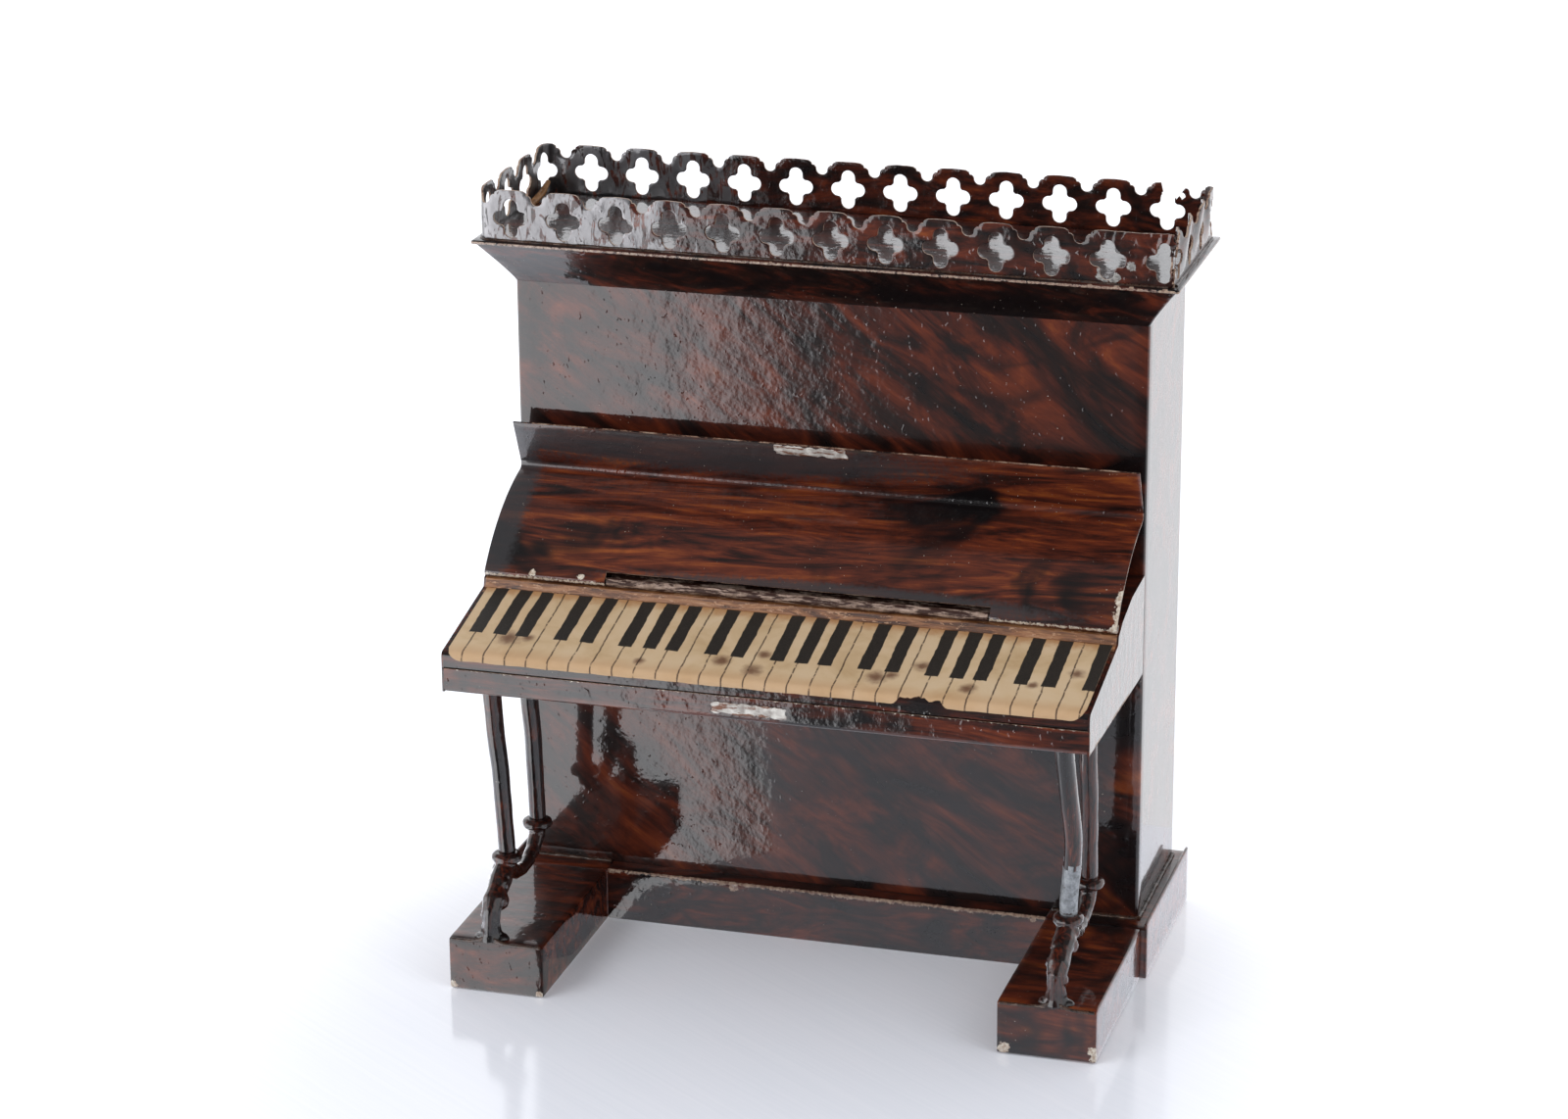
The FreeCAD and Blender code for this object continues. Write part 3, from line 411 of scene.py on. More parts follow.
def floor_material():
    """Pale, faintly blue acrylic with a soft sheen and fine scratches, glowing as painted light that
    is dimmer in front of the piano, a painted shadow.
    """
    made, nodes, shader = material("floor_acrylic_painted_light")
    place = nodes.place()
    scratch = nodes.noise(turned(nodes, place, (0, 0, 35)), (60.0, 0.8, 1.0), 3.0, 0.7)
    nodes.put(shader, "Base Color",
              nodes.ramp(scratch, (0.3, (0.77, 0.80, 0.89)), (0.75, (0.81, 0.835, 0.92))))
    nodes.put(shader, "Roughness", nodes.scaled(scratch, 0.10, 0.07))
    nodes.put(shader, "Specular IOR Level", 0.85)
    # Painted light: the floor glows faintly in a painted shadow in front of the piano and more
    # brightly further out.
    away = nodes.vector("DISTANCE", place, FLOOR_SHADE_CENTRE)
    nodes.put(shader, "Emission Color", (0.97, 0.98, 1.0, 1))
    nodes.put(shader, "Emission Strength", nodes.scaled(nodes.step(away, *FLOOR_SHADE_REACH), 0.33, 0.09))
    return made


# ---- mesh helpers

def span(node):
    """A CAD node's lowest and highest corners in millimetres."""
    low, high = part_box(node)
    return low / MM, high / MM


def ripple(point, size, seed=0.0):
    """Smooth noise from -1 to 1 with features about size millimetres."""
    return noise.noise(Vector(point) / size + Vector((seed, 3.7 * seed, -1.3 * seed)))


def steps(low, high, spacing):
    """Evenly spaced values from low to high."""
    count = max(1, round(abs(high - low) / spacing))
    return [low + (high - low) * index / count for index in range(count + 1)]


def arc(centre, radius, start, end, count):
    """Points of an arc in a plane; angles in degrees."""
    return [(centre[0] + radius * cos(radians(start + (end - start) * k / count)),
             centre[1] + radius * sin(radians(start + (end - start) * k / count)))
            for k in range(count + 1)]


def grid(rows, closed=False, keep=None):
    """A bmesh of quads over rows of points; keep(row, column) may leave quads out."""
    mesh = bmesh.new()
    made = [[mesh.verts.new(point) for point in row] for row in rows]
    columns = len(rows[0])
    for i in range(len(rows) - 1):
        for j in range(columns if closed else columns - 1):
            if keep and not keep(i, j):
                continue
            k = (j + 1) % columns
            mesh.faces.new((made[i][j], made[i][k], made[i + 1][k], made[i + 1][j]))
    loose = [vertex for vertex in mesh.verts if not vertex.link_faces]
    bmesh.ops.delete(mesh, geom=loose, context="VERTS")
    return mesh


def push(vertices, height):
    """Move vertices along their normals by height(vertex)."""
    moves = [vertex.normal * height(vertex) for vertex in vertices]
    for vertex, move in zip(vertices, moves):
        vertex.co += move


def dent(mesh, *waves):
    """Dent a bmesh by waves of (height, size, seed), in millimetres."""
    mesh.normal_update()
    push(mesh.verts, lambda vertex: sum(height * ripple(vertex.co, size, seed)
                                        for height, size, seed in waves))


def dress_faces(mesh, test):
    """Give the faces whose middle passes the test the piece's second material."""
    for face in mesh.faces:
        if test(face.calc_center_median()):
            face.material_index = 1


def keep_inside(vertices, low, high):
    """Hold vertices inside a box."""
    for vertex in vertices:
        vertex.co = [min(max(vertex.co[axis], low[axis]), high[axis]) for axis in range(3)]


def tube(path, radius, sides=16, shape=None):
    """A closed tube along a path. radius(way) and shape(way, angle) may vary along and round it."""
    rings = []
    for index, point in enumerate(path):
        before, after = path[max(index - 1, 0)], path[min(index + 1, len(path) - 1)]
        forward = (Vector(after) - Vector(before)).normalized()
        side = Vector((1, 0, 0))
        if abs(forward.x) > 0.9:
            side = Vector((0, 1, 0))
        across = (side - forward * side.dot(forward)).normalized()
        other = forward.cross(across)
        way = index / (len(path) - 1)
        size = radius(way) if callable(radius) else radius
        ring = []
        for k in range(sides):
            angle = 2 * pi * k / sides
            stretch = size * (shape(way, angle) if shape else 1)
            out = across * cos(angle) + other * sin(angle)
            ring.append(Vector(point) + out * stretch)
        rings.append(ring)
    mesh = grid(rings, closed=True)
    close_ends(mesh, sides)
    return mesh


def close_ends(mesh, sides):
    """Cap the first and last rings of a swept tube."""
    mesh.verts.ensure_lookup_table()
    for first in (0, len(mesh.verts) - sides):
        ring = [mesh.verts[first + k] for k in range(sides)]
        mesh.faces.new(ring if first else ring[::-1])


def beaded(amount, length, size, seed):
    """An uneven cross-section for a bead of solder about length millimetres long."""
    return lambda way, angle: 1 + amount * ripple((way * length, angle, 0), size, seed)


def rounded_block(low, high, radius, spacing):
    """A box with rounded edges, divided finely enough to be dented."""
    low, high = Vector(low), Vector(high)
    cuts = []
    for axis in range(3):
        ends = [radius * share for share in (0, 0.15, 0.45, 1)]
        middle = steps(low[axis] + radius, high[axis] - radius, spacing)
        cuts.append([low[axis] + end for end in ends[:-1]] + middle
                    + [high[axis] - end for end in reversed(ends[:-1])])
    mesh = bmesh.new()
    for axis in range(3):
        a, b = (axis + 1) % 3, (axis + 2) % 3
        for level, flip in ((low[axis], True), (high[axis], False)):
            made = []
            for first in cuts[a]:
                row = []
                for second in cuts[b]:
                    point = [0, 0, 0]
                    point[axis], point[a], point[b] = level, first, second
                    row.append(mesh.verts.new(point))
                made.append(row)
            for i in range(len(made) - 1):
                for j in range(len(made[0]) - 1):
                    face = [made[i][j], made[i + 1][j], made[i + 1][j + 1], made[i][j + 1]]
                    mesh.faces.new(face[::-1] if flip else face)
    bmesh.ops.remove_doubles(mesh, verts=mesh.verts, dist=1e-4)
    inner_low, inner_high = low + Vector([radius] * 3), high - Vector([radius] * 3)
    for vertex in mesh.verts:
        core = Vector([min(max(vertex.co[k], inner_low[k]), inner_high[k]) for k in range(3)])
        out = vertex.co - core
        if out.length > 1e-6:
            vertex.co = core + out.normalized() * radius
    return mesh


def join(meshes):
    """Put several bmeshes into one."""
    whole = bmesh.new()
    for part in meshes:
        data = bpy.data.meshes.new("part")
        part.to_mesh(data)
        part.free()
        whole.from_mesh(data)
        bpy.data.meshes.remove(data)
    return whole


def modifier(item, kind, **settings):
    made = item.modifiers.new(kind.lower(), kind)
    for key, value in settings.items():
        setattr(made, key, value)


def piece(name, mesh, materials, body, nodes=(), thick=0.0, bevel=0.0,
          voxel=0.0, smooth=0, rim=0, paint=None, printed=None):
    """Make an object from a bmesh in millimetres, thicken and round it, and hang it on its body."""
    for vertex in mesh.verts:
        vertex.co *= MM
    if not thick:
        bmesh.ops.recalc_face_normals(mesh, faces=mesh.faces)
    data = bpy.data.meshes.new(name)
    mesh.to_mesh(data)
    mesh.free()
    item = bpy.data.objects.new(name, data)
    bpy.context.scene.collection.objects.link(item)
    for made in materials:
        data.materials.append(made)
    if voxel:
        modifier(item, "REMESH", mode="VOXEL", voxel_size=voxel * MM)
    if smooth:
        modifier(item, "SMOOTH", factor=0.5, iterations=smooth)
    if thick:
        modifier(item, "SOLIDIFY", thickness=thick * MM, offset=-1, material_offset_rim=rim)
    if bevel:
        modifier(item, "BEVEL", width=bevel * MM, segments=2, limit_method="ANGLE",
                 angle_limit=radians(50))
    graph = bpy.context.evaluated_depsgraph_get()
    settled = bpy.data.meshes.new_from_object(item.evaluated_get(graph))
    settled.name = name
    item.modifiers.clear()
    item.data = settled
    bpy.data.meshes.remove(data)
    keep_inside(settled.vertices, *cad_bounds)
    for polygon in settled.polygons:
        polygon.use_smooth = True
    settled.set_sharp_from_angle(angle=radians(42))
    if paint:
        layer = settled.attributes.new("wear", "FLOAT", "POINT")
        for vertex, value in zip(settled.vertices, layer.data):
            value.value = paint(vertex.co / MM)
    if printed:
        layer = settled.attributes.new("print", "FLOAT_VECTOR", "POINT")
        for vertex, value in zip(settled.vertices, layer.data):
            value.vector = printed(vertex.co / MM)
    if nodes:
        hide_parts(*nodes)
    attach(item, body)
    return item


# ---- places taken from the frame

CASE_LOW, CASE_HIGH = span("case_wrap")
COVE_LOW, COVE_HIGH = span("cornice_cove")
TOP_LOW, TOP_HIGH = span("cornice_top")
STRIP_LOW, STRIP_HIGH = span("gallery_strip")
KEYBED_LOW, KEYBED_HIGH = span("keybed_top")
TRAY_LOW, TRAY_HIGH = span("keybed_tray")
PAPER_LOW, PAPER_HIGH = span("keyboard_paper")
LEAF_HIGH = span("hinge_leaf")[1]
FALL_HIGH = span("fall")[1]
RAIL_LOW, RAIL_HIGH = span("base_rail")

HINGE = Vector(frame["joints"][0]["pos_m"]) / MM
FRONT = CASE_LOW.y
KEYBED_FRONT = KEYBED_LOW.y

CASE_CORNER = 0.5
KNUCKLE = 0.8
FALL_OPEN, FALL_BOW, FALL_ROOT = 33.5, 35.0, 140.0
LIP_ANGLE, LIP_LENGTH = 114.0, 9.9
KEY_SLOPE = 12.1
ROLL_RADIUS = 1.0
KEY_BACK = (HINGE.y - 0.7, HINGE.z - 2.6)
ROLL_TOP_Y = KEYBED_FRONT + ROLL_RADIUS * (1 - sin(radians(KEY_SLOPE)))
ROLL_TOP = (ROLL_TOP_Y,
            KEY_BACK[1] - (KEY_BACK[0] - ROLL_TOP_Y) * tan(radians(KEY_SLOPE)))
ROLL_AXIS = (KEYBED_FRONT + ROLL_RADIUS,
             ROLL_TOP[1] - ROLL_RADIUS * cos(radians(KEY_SLOPE)))


def bare_where(line, reach):
    """A wear painter: full where line(place) is 0, and fading over reach millimetres."""
    return lambda place: max(0.0, 1.0 - line(place) / reach)


# ---- case and cornice

def wrap_plan(half, front, back, corner, spacing):
    """Plan of a sheet folded round the left side, the front and the right side."""
    left = [(-half, y) for y in steps(back, front + corner, spacing)]
    left_bend = arc((-half + corner, front + corner), corner, 180, 270, 4)
    middle = [(x, front) for x in steps(-half + corner, half - corner, spacing)]
    right_bend = arc((half - corner, front + corner), corner, 270, 360, 4)
    right = [(half, y) for y in steps(front + corner, back, spacing)]
    return left + left_bend[1:] + middle[1:] + right_bend[1:] + right[1:]


def make_case(looks):
    half = CASE_HIGH.x
    plan = wrap_plan(half, FRONT, CASE_HIGH.y, CASE_CORNER, 2.0)
    rows = [[(x, y, z) for x, y in plan] for z in steps(CASE_LOW.z, CASE_HIGH.z, 2.0)]
    mesh = grid(rows)
    dent(mesh, (0.035, 34, 1), (0.012, 9, 2))
    for face in mesh.faces:
        face.material_index = int(abs(face.normal.x) > 0.95)
    piece("case_shell", mesh, [looks["panel"], looks["side"], looks["edge"]], "case", ["case_wrap"],
          thick=GAUGE, rim=2)


def make_cornice(looks):
    flare, rise = COVE_HIGH.x - CASE_HIGH.x, COVE_HIGH.z - COVE_LOW.z
    rows = []
    for way in steps(0, 1, 0.07):
        out = flare * way ** 1.10
        plan = wrap_plan(CASE_HIGH.x + out, FRONT - out, COVE_HIGH.y, 0.35, 2.2)
        rows.append([(x, y, COVE_LOW.z + rise * way) for x, y in plan])
    mesh = grid(rows)
    dent(mesh, (0.03, 14, 4), (0.012, 4, 5))
    piece("cornice_flare", mesh, [looks["cove"], looks["edge"]], "case", ["cornice_cove"],
          thick=GAUGE, rim=1)

    mesh = rounded_block(TOP_LOW, TOP_HIGH, 0.34, 2.4)
    for vertex in mesh.verts:
        sag = 0.10 * ripple((vertex.co.x, vertex.co.y, 0), 16, 7)
        vertex.co.z += min(sag, 0) if vertex.co.z > TOP_LOW.z + 0.4 else max(sag, 0) * 0.6
    edge = lambda place: min(place.y - TOP_LOW.y,
                             TOP_HIGH.x - abs(place.x)) + 0.8 * (place.z > 122.95)
    piece("cornice_plate", mesh, [looks["top"]], "case", ["cornice_top"],
          paint=bare_where(edge, 0.9))


# ---- gallery

ARCH_PITCH = 9.33
FIRST_ARCH = 1.8
HOLE_HEIGHT = 4.0
CROWN = STRIP_HIGH.z - STRIP_LOW.z - HOLE_HEIGHT
BEND = 2.0
STRIP_LENGTH = 303.2
PLAIN_GAP, BROKEN_ARCH, CRUMPLED_FROM = 0, 28, 275


def half_arch(notched):
    """Right half of an arch's outline, from bottom to top, seen from the hole's centre."""
    half = ARCH_PITCH / 2
    points = [(0, -HOLE_HEIGHT), (1.3, -HOLE_HEIGHT), (2.6, -HOLE_HEIGHT), (half, -HOLE_HEIGHT),
              (half, -2.2), (half, -0.7), (half, 0.8)]
    if notched:
        points += [(y, z) for y, z in arc((half, CROWN - 1.5), 1.0, 270, 180, 6)]
        points += [(half - 1.08, CROWN - 1.15), (half - 1.38, CROWN - 0.88),
                   (half - 1.78, CROWN - 0.84),
                   (half - 1.92, CROWN - 0.42), (half - 2.45, CROWN - 0.12)]
    else:
        points += [(half, 2.4), (half, 3.7), (half, CROWN - 0.1), (half - 1.6, CROWN - 0.06)]
    return points + [(1.2, CROWN - 0.03), (0, CROWN)]


def half_quatrefoil():
    """Right half of the pierced quatrefoil, from its lowest to its highest point."""
    lobe, across, tall = 1.22, 1.83, 2.15
    low = arc((0, -tall), lobe, 270, 360, 5)
    right = arc((across, 0), lobe, 270, 450, 9)
    high = arc((0, tall), lobe, 0, 90, 5)
    corner = [(lobe + 0.02, lobe + 0.36), (lobe + 0.36, lobe + 0.02)]
    return low + [(y, -z) for y, z in corner] + right + [(y, z) for y, z in reversed(corner)] + high


def ray_hit(points, angle):
    """Distance from the origin to the outline along an angle."""
    way = Vector((cos(angle), sin(angle)))
    best = 0
    for first, second in zip(points, points[1:]):
        first, second = Vector(first), Vector(second)
        along = second - first
        cross = way.x * along.y - way.y * along.x
        if abs(cross) < 1e-9:
            continue
        share = (first.x * way.y - first.y * way.x) / cross
        distance = (first.x * along.y - first.y * along.x) / cross
        if -1e-6 <= share <= 1 + 1e-6 and distance > best:
            best = distance
    return best


def arch_rays():
    """Angles of the right half's spokes, which pass through every corner of the outlines."""
    plain_side = [corner for corner in half_arch(False) if corner[0] == ARCH_PITCH / 2]
    corners = half_arch(True) + plain_side + half_quatrefoil()
    angles = sorted(atan2(z, y) for y, z in corners)
    kept = [-pi / 2]
    for angle in angles:
        if angle - kept[-1] > radians(1.4):
            kept.append(angle)
    kept[-1] = pi / 2
    return kept


def gallery_place(way, height, out=0.0):
    """Point of the strip's outer face. way runs from the front right corner to the right side,
    and what is short of the corner is bent back round it."""
    half, front, back = STRIP_HIGH.x, STRIP_LOW.y, STRIP_HIGH.y
    quarter = BEND * pi / 2
    runs = [2 * half - BEND, quarter, back - front - 2 * BEND, quarter, 2 * half - 2 * BEND,
            quarter]
    if way < 0:
        return Vector((half - 0.55 - 0.5 * out, front + 0.15 - way, height))
    turn_centres = {1: (-half + BEND, front + BEND, 270), 3: (-half + BEND, back - BEND, 180),
                    5: (half - BEND, back - BEND, 90)}
    straight = {0: ((half, front), (-1, 0), (0, -1)), 2: ((-half, front + BEND), (0, 1), (-1, 0)),
                4: ((-half + BEND, back), (1, 0), (0, 1))}
    for index, run in enumerate(runs):
        if way <= run:
            break
        way -= run
    else:
        return Vector((half + out, back - BEND - way, height))
    if index in straight:
        start, step, normal = straight[index]
        return Vector((start[0] + step[0] * way + normal[0] * out,
                       start[1] + step[1] * way + normal[1] * out, height))
    x, y, angle = turn_centres[index]
    angle = radians(angle - 90 * way / run)
    normal = Vector((cos(angle), sin(angle), 0))
    return Vector((x, y, height)) + normal * (BEND + out)


def gallery_lean(way, height):
    """How far the old strip leans or is dented outwards."""
    share = height / (STRIP_HIGH.z - STRIP_LOW.z)
    lean = 0.22 * ripple((way, 0, 0), 26, 3) * share + 0.10 * ripple((way, height, 0), 5, 4) * share
    crumple = exp(-max(way - 1.0, 0) / 5.0) * sin(2.1 * way + 0.6 * height)
    lean -= 0.55 * abs(crumple) * share
    if way > CRUMPLED_FROM:
        lean += 0.62 * sin(way * 0.62 + 0.25 * height) * share
    return lean


def make_gallery(looks):
    rays = arch_rays()
    spokes = rays + [pi - angle for angle in reversed(rays[1:-1])]
    hole = half_quatrefoil()
    count = int((STRIP_LENGTH - FIRST_ARCH) / ARCH_PITCH) + 1
    mesh = bmesh.new()
    for index in range(count):
        centre = FIRST_ARCH + index * ARCH_PITCH
        rings = []
        for angle in spokes:
            ahead = cos(angle) >= 0
            mirrored = angle if ahead else pi - angle
            notched = not ((index == PLAIN_GAP and ahead) or (index == PLAIN_GAP + 1 and not ahead))
            inner, outer = ray_hit(hole, mirrored), ray_hit(half_arch(notched), mirrored)
            turn = (index * 7.0, cos(angle) * 3, sin(angle) * 3)
            wobble = 1 + 0.025 * ripple(turn, 1.5, 6)
            inner *= wobble
            side, up = abs(outer * cos(angle)), outer * sin(angle)
            if up > 1.5 and side < ARCH_PITCH / 2 - 0.05:
                outer *= 1 - 0.02 * abs(ripple((index * 5.0, angle * 2, 0), 1.0, 8))
            spoke = []
            for share in (0, 0.12, 0.4, 0.7, 1):
                reach = inner + (outer - inner) * share
                way = centre + reach * cos(angle)
                height = HOLE_HEIGHT + reach * sin(angle)
                spoke.append((way, height))
            rings.append(spoke)
        for k, spoke in enumerate(rings):
            following = rings[(k + 1) % len(rings)]
            for ring in range(4):
                corners = [spoke[ring], following[ring], following[ring + 1], spoke[ring + 1]]
                middle = [sum(corner[axis] for corner in corners) / 4 for axis in (0, 1)]
                if middle[0] > STRIP_LENGTH:
                    continue
                off = middle[0] - centre
                torn = middle[1] > 6.3 and -0.9 < off + 0.25 * (middle[1] - 7) < 2.9
                if index == BROKEN_ARCH and torn:
                    continue
                points = [gallery_place(way, STRIP_LOW.z + height, gallery_lean(way, height))
                          for way, height in corners]
                mesh.faces.new([mesh.verts.new(point) for point in points])
    bmesh.ops.remove_doubles(mesh, verts=mesh.verts, dist=0.012)
    loose = [vertex for vertex in mesh.verts if not vertex.link_faces]
    bmesh.ops.delete(mesh, geom=loose, context="VERTS")
    mesh.normal_update()
    mesh.faces.ensure_lookup_table()
    front_faces = [face for face in mesh.faces if face.calc_center_median().y < STRIP_LOW.y + 0.6
                   and abs(face.calc_center_median().x) < 50]
    if sum(face.normal.y for face in front_faces) > 0:
        bmesh.ops.reverse_faces(mesh, faces=mesh.faces)
    piece("gallery_pierced_strip", mesh, [looks["gallery"], looks["rim"]], "case",
          ["gallery_strip"], thick=GAUGE, bevel=0.05, rim=1)

    path = [gallery_place(way, STRIP_LOW.z + 0.05, 0.05)
            for way in steps(1.0, STRIP_LENGTH - 0.7, 0.9)]
    seam = tube(path, 0.26, 8, beaded(0.35, 300, 1.7, 9))
    piece("gallery_solder_seam", seam, [looks["seam"]], "case")

    tab = [(-STRIP_HIGH.x + 1.0, 21.5, STRIP_LOW.z + 0.2),
           (-STRIP_HIGH.x + 1.3, 25, STRIP_LOW.z + 0.5),
           (-STRIP_HIGH.x + 1.5, 28.5, STRIP_LOW.z + 1.2),
           (-STRIP_HIGH.x + 1.8, 31.0, STRIP_LOW.z + 2.6)]
    tab_mesh = tube(tab, lambda way: 0.45 + 0.25 * sin(pi * way), 10)
    piece("gallery_solder_tab", tab_mesh, [looks["amber"]], "case", voxel=0.12,
          smooth=3)


# ---- keybed, keyboard and hinge

def swept(path, low, high, spacing):
    """Grid of a folded strip: a side view path of (y, z) carried across from low to high."""
    columns = steps(low, high, spacing)
    return [[(x, y, z) for x in columns] for y, z in path]


def subdivided(path, spacing):
    """A path with extra points, so that a side is no longer than the spacing."""
    result = [path[0]]
    for first, second in zip(path, path[1:]):
        length = dist(first, second)
        count = max(1, ceil(length / spacing))
        result += [(first[0] + (second[0] - first[0]) * k / count,
                    first[1] + (second[1] - first[1]) * k / count) for k in range(1, count + 1)]
    return result


def rounded_corner(path, index, radius, count=5):
    """A path with one corner replaced by a short curve that leaves each side by radius."""
    corner = Vector(path[index])
    before = corner + (Vector(path[index - 1]) - corner).normalized() * radius
    after = corner + (Vector(path[index + 1]) - corner).normalized() * radius
    curve = []
    for share in steps(0, 1, 1 / count):
        point = before.lerp(corner, share).lerp(corner.lerp(after, share), share)
        curve.append((point.x, point.y))
    return path[:index] + curve + path[index + 1:]


RISER_FOOT = 1.6


def make_keybed(looks):
    half = KEYBED_HIGH.x
    roll = arc(ROLL_AXIS, ROLL_RADIUS, 180, 90 + KEY_SLOPE, 7)
    riser_top = (HINGE.y - 0.3, HINGE.z - 1.2)
    shelf_front = (HINGE.y + 2.6, HINGE.z + 0.35)
    shelf_back = (FRONT + 0.5 * (HINGE.y - FRONT), HINGE.z + 2.1)
    shelf_end = (KEYBED_HIGH.y, HINGE.z + 2.6)
    path = [(KEYBED_FRONT, KEYBED_LOW.z)] + roll + [KEY_BACK, riser_top, shelf_front, shelf_back,
                                                    shelf_end]
    path = subdivided(path, 2.0)
    mesh = grid(swept(path, -half, half, 1.6))
    dress_faces(mesh, lambda middle: KEY_BACK[0] - RISER_FOOT < middle.y < HINGE.y + 1)
    dent(mesh, (0.02, 12, 11), (0.03, 3, 12))
    piece("key_sheet", mesh, [looks["keybed"], looks["riser"]], "case", ["keybed_top"],
          thick=GAUGE - 0.05)

    tray = [(TRAY_HIGH.y, TRAY_LOW.z), (KEYBED_FRONT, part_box("rail_catch_solder")[0].z / MM - 0.95),
            (KEYBED_FRONT, TRAY_HIGH.z)]
    tray = subdivided(rounded_corner(tray, 1, 0.7), 1.5)
    mesh = grid(swept(tray, -half - GAUGE, half + GAUGE, 1.6))
    dent(mesh, (0.03, 10, 13), (0.02, 3, 14))
    for vertex in mesh.verts:
        vertex.co.x = copysign(min(abs(vertex.co.x), half + GAUGE), vertex.co.x)
    lost = lambda place: abs(place.z - TRAY_HIGH.z) + (4 if place.y > KEYBED_FRONT + 1 else 0)
    piece("front_rail_and_tray", mesh, [looks["rail"], looks["rim"]], "case", ["keybed_tray"],
          thick=GAUGE, rim=1, paint=bare_where(lost, 0.9))


def paper_front(x):
    """Where the printed paper starts, in millimetres back from the keybed's front."""
    half = PAPER_HIGH.x
    start = -1.10 + 0.10 * ripple((x, 0, 0), 2.5, 21)
    corner = 2.6
    past = abs(x) - (half - corner)
    if past > 0:
        start += corner - sqrt(max(corner ** 2 - past ** 2, 0))
    bite_low, bite_high, depth = 22.4, 31.4, 1.55
    inside = min(x - bite_low, bite_high - x)
    if inside > 0:
        ragged = 0.75 + 0.5 * ripple((x, 0, 0), 1.3, 22) + 0.25 * ripple((x, 0, 0), 0.5, 23)
        start += depth * min(1, inside / 1.2) * ragged
    return start


def paper_back(x):
    """Where the paper's torn back edge lies."""
    end = (KEY_BACK[0] - KEYBED_FRONT) / cos(radians(KEY_SLOPE)) - 0.25
    return end - 0.35 * abs(ripple((x, 0, 0), 3.5, 24)) - 0.15 * abs(ripple((x, 0, 0), 0.9, 25))


PAPER_OUT = 0.15


def paper_place(x, back, out=PAPER_OUT):
    """A point of the paper's face: back is measured along the keys from the keybed's front."""
    slope = radians(KEY_SLOPE)
    flat_from = (ROLL_TOP[0] - KEYBED_FRONT) / cos(slope)
    radius = ROLL_RADIUS + out
    if back >= flat_from:
        run = back - flat_from
        return Vector((x, ROLL_TOP[0] + run * cos(slope) - out * sin(slope),
                       ROLL_TOP[1] + run * sin(slope) + out * cos(slope)))
    angle = pi / 2 + slope + (flat_from - back) / radius
    drop = 0.0
    if angle > pi:
        drop = (angle - pi) * radius
        angle = pi
    return Vector((x, ROLL_AXIS[0] + radius * cos(angle),
                   ROLL_AXIS[1] + radius * sin(angle) - drop))


def paper_print(place):
    """The reverse of paper_place: (across, back) of a point on the paper."""
    slope = radians(KEY_SLOPE)
    flat_from = (ROLL_TOP[0] - KEYBED_FRONT) / cos(slope)
    run = (place.y - ROLL_TOP[0]) * cos(slope) + (place.z - ROLL_TOP[1]) * sin(slope)
    if run >= 0:
        return (place.x, flat_from + run, 0)
    if place.z < ROLL_AXIS[1]:
        turn = pi / 2 - slope
        return (place.x, flat_from - (ROLL_RADIUS + PAPER_OUT) * turn - (ROLL_AXIS[1] - place.z), 0)
    angle = atan2(place.z - ROLL_AXIS[1], place.y - ROLL_AXIS[0]) - pi / 2 - slope
    return (place.x, flat_from - (ROLL_RADIUS + PAPER_OUT) * angle, 0)


def make_keyboard(looks):
    columns = steps(PAPER_LOW.x, PAPER_HIGH.x, 0.45)
    rows = []
    for share in [0, 0.01, 0.02, 0.035, 0.05, 0.065, 0.08] + steps(0.1, 1, 0.03):
        row = []
        for x in columns:
            start, end = paper_front(x), paper_back(x)
            back = start + (end - start) * share
            lift = 0.05 * max(0, ripple((x, back, 0), 6, 26)) + 0.10 * max(0, 1 - 30 * share) * max(
                0, ripple((x, 0, 0), 4, 27))
            row.append(paper_place(x, back, PAPER_OUT + lift))
        rows.append(row)
    piece("printed_keyboard", grid(rows), [looks["print"], looks["torn"]], "case",
          ["keyboard_paper"],
          thick=0.13, rim=1, printed=paper_print)


def hinge_shape(way, angle):
    """Cross-section of a rolled knuckle: a flat where the sheet's edge ends, and dents."""
    seam = 0.10 * exp(-((angle - 1.2) / 0.25) ** 2)
    return 1 - seam - 0.05 * abs(ripple((way * 60, cos(angle), sin(angle)), 2.2, 31))


def make_hinge(looks):
    half = FALL_HIGH.x
    fixed = LEAF_HIGH.x
    path = [(x, HINGE.y, HINGE.z) for x in steps(-fixed, fixed, 0.8)]
    knuckle = tube(path, KNUCKLE, 18, hinge_shape)
    tongue = [(HINGE.y + 0.67, HINGE.z - 0.68), (HINGE.y + 2.6, HINGE.z + 0.35)]
    lift = Vector((-0.47, 0.88)) * 0.32
    strip = rounded_strip(tongue, lift, -fixed, fixed)
    piece("fixed_knuckle", join([knuckle, strip]), [looks["worn_metal"]], "case", ["hinge_leaf"],
          bevel=0.05)
    pin = [(x, HINGE.y, HINGE.z) for x in steps(-half, half, 2.0)]
    piece("hinge_wire_pin", tube(pin, 0.39, 12), [looks["wire"]], "case", ["hinge_pin"])


def rounded_strip(path, lift, low, high):
    """A thin flat strip between two side view points, raised on one side by lift."""
    first, second = Vector(path[0]), Vector(path[1])
    ring = [first, second, second + lift, first + lift]
    rows = [[(x, point.x, point.y) for point in ring] for x in steps(low, high, 2.0)]
    mesh = grid(rows, closed=True)
    close_ends(mesh, 4)
    return mesh


# ---- fall

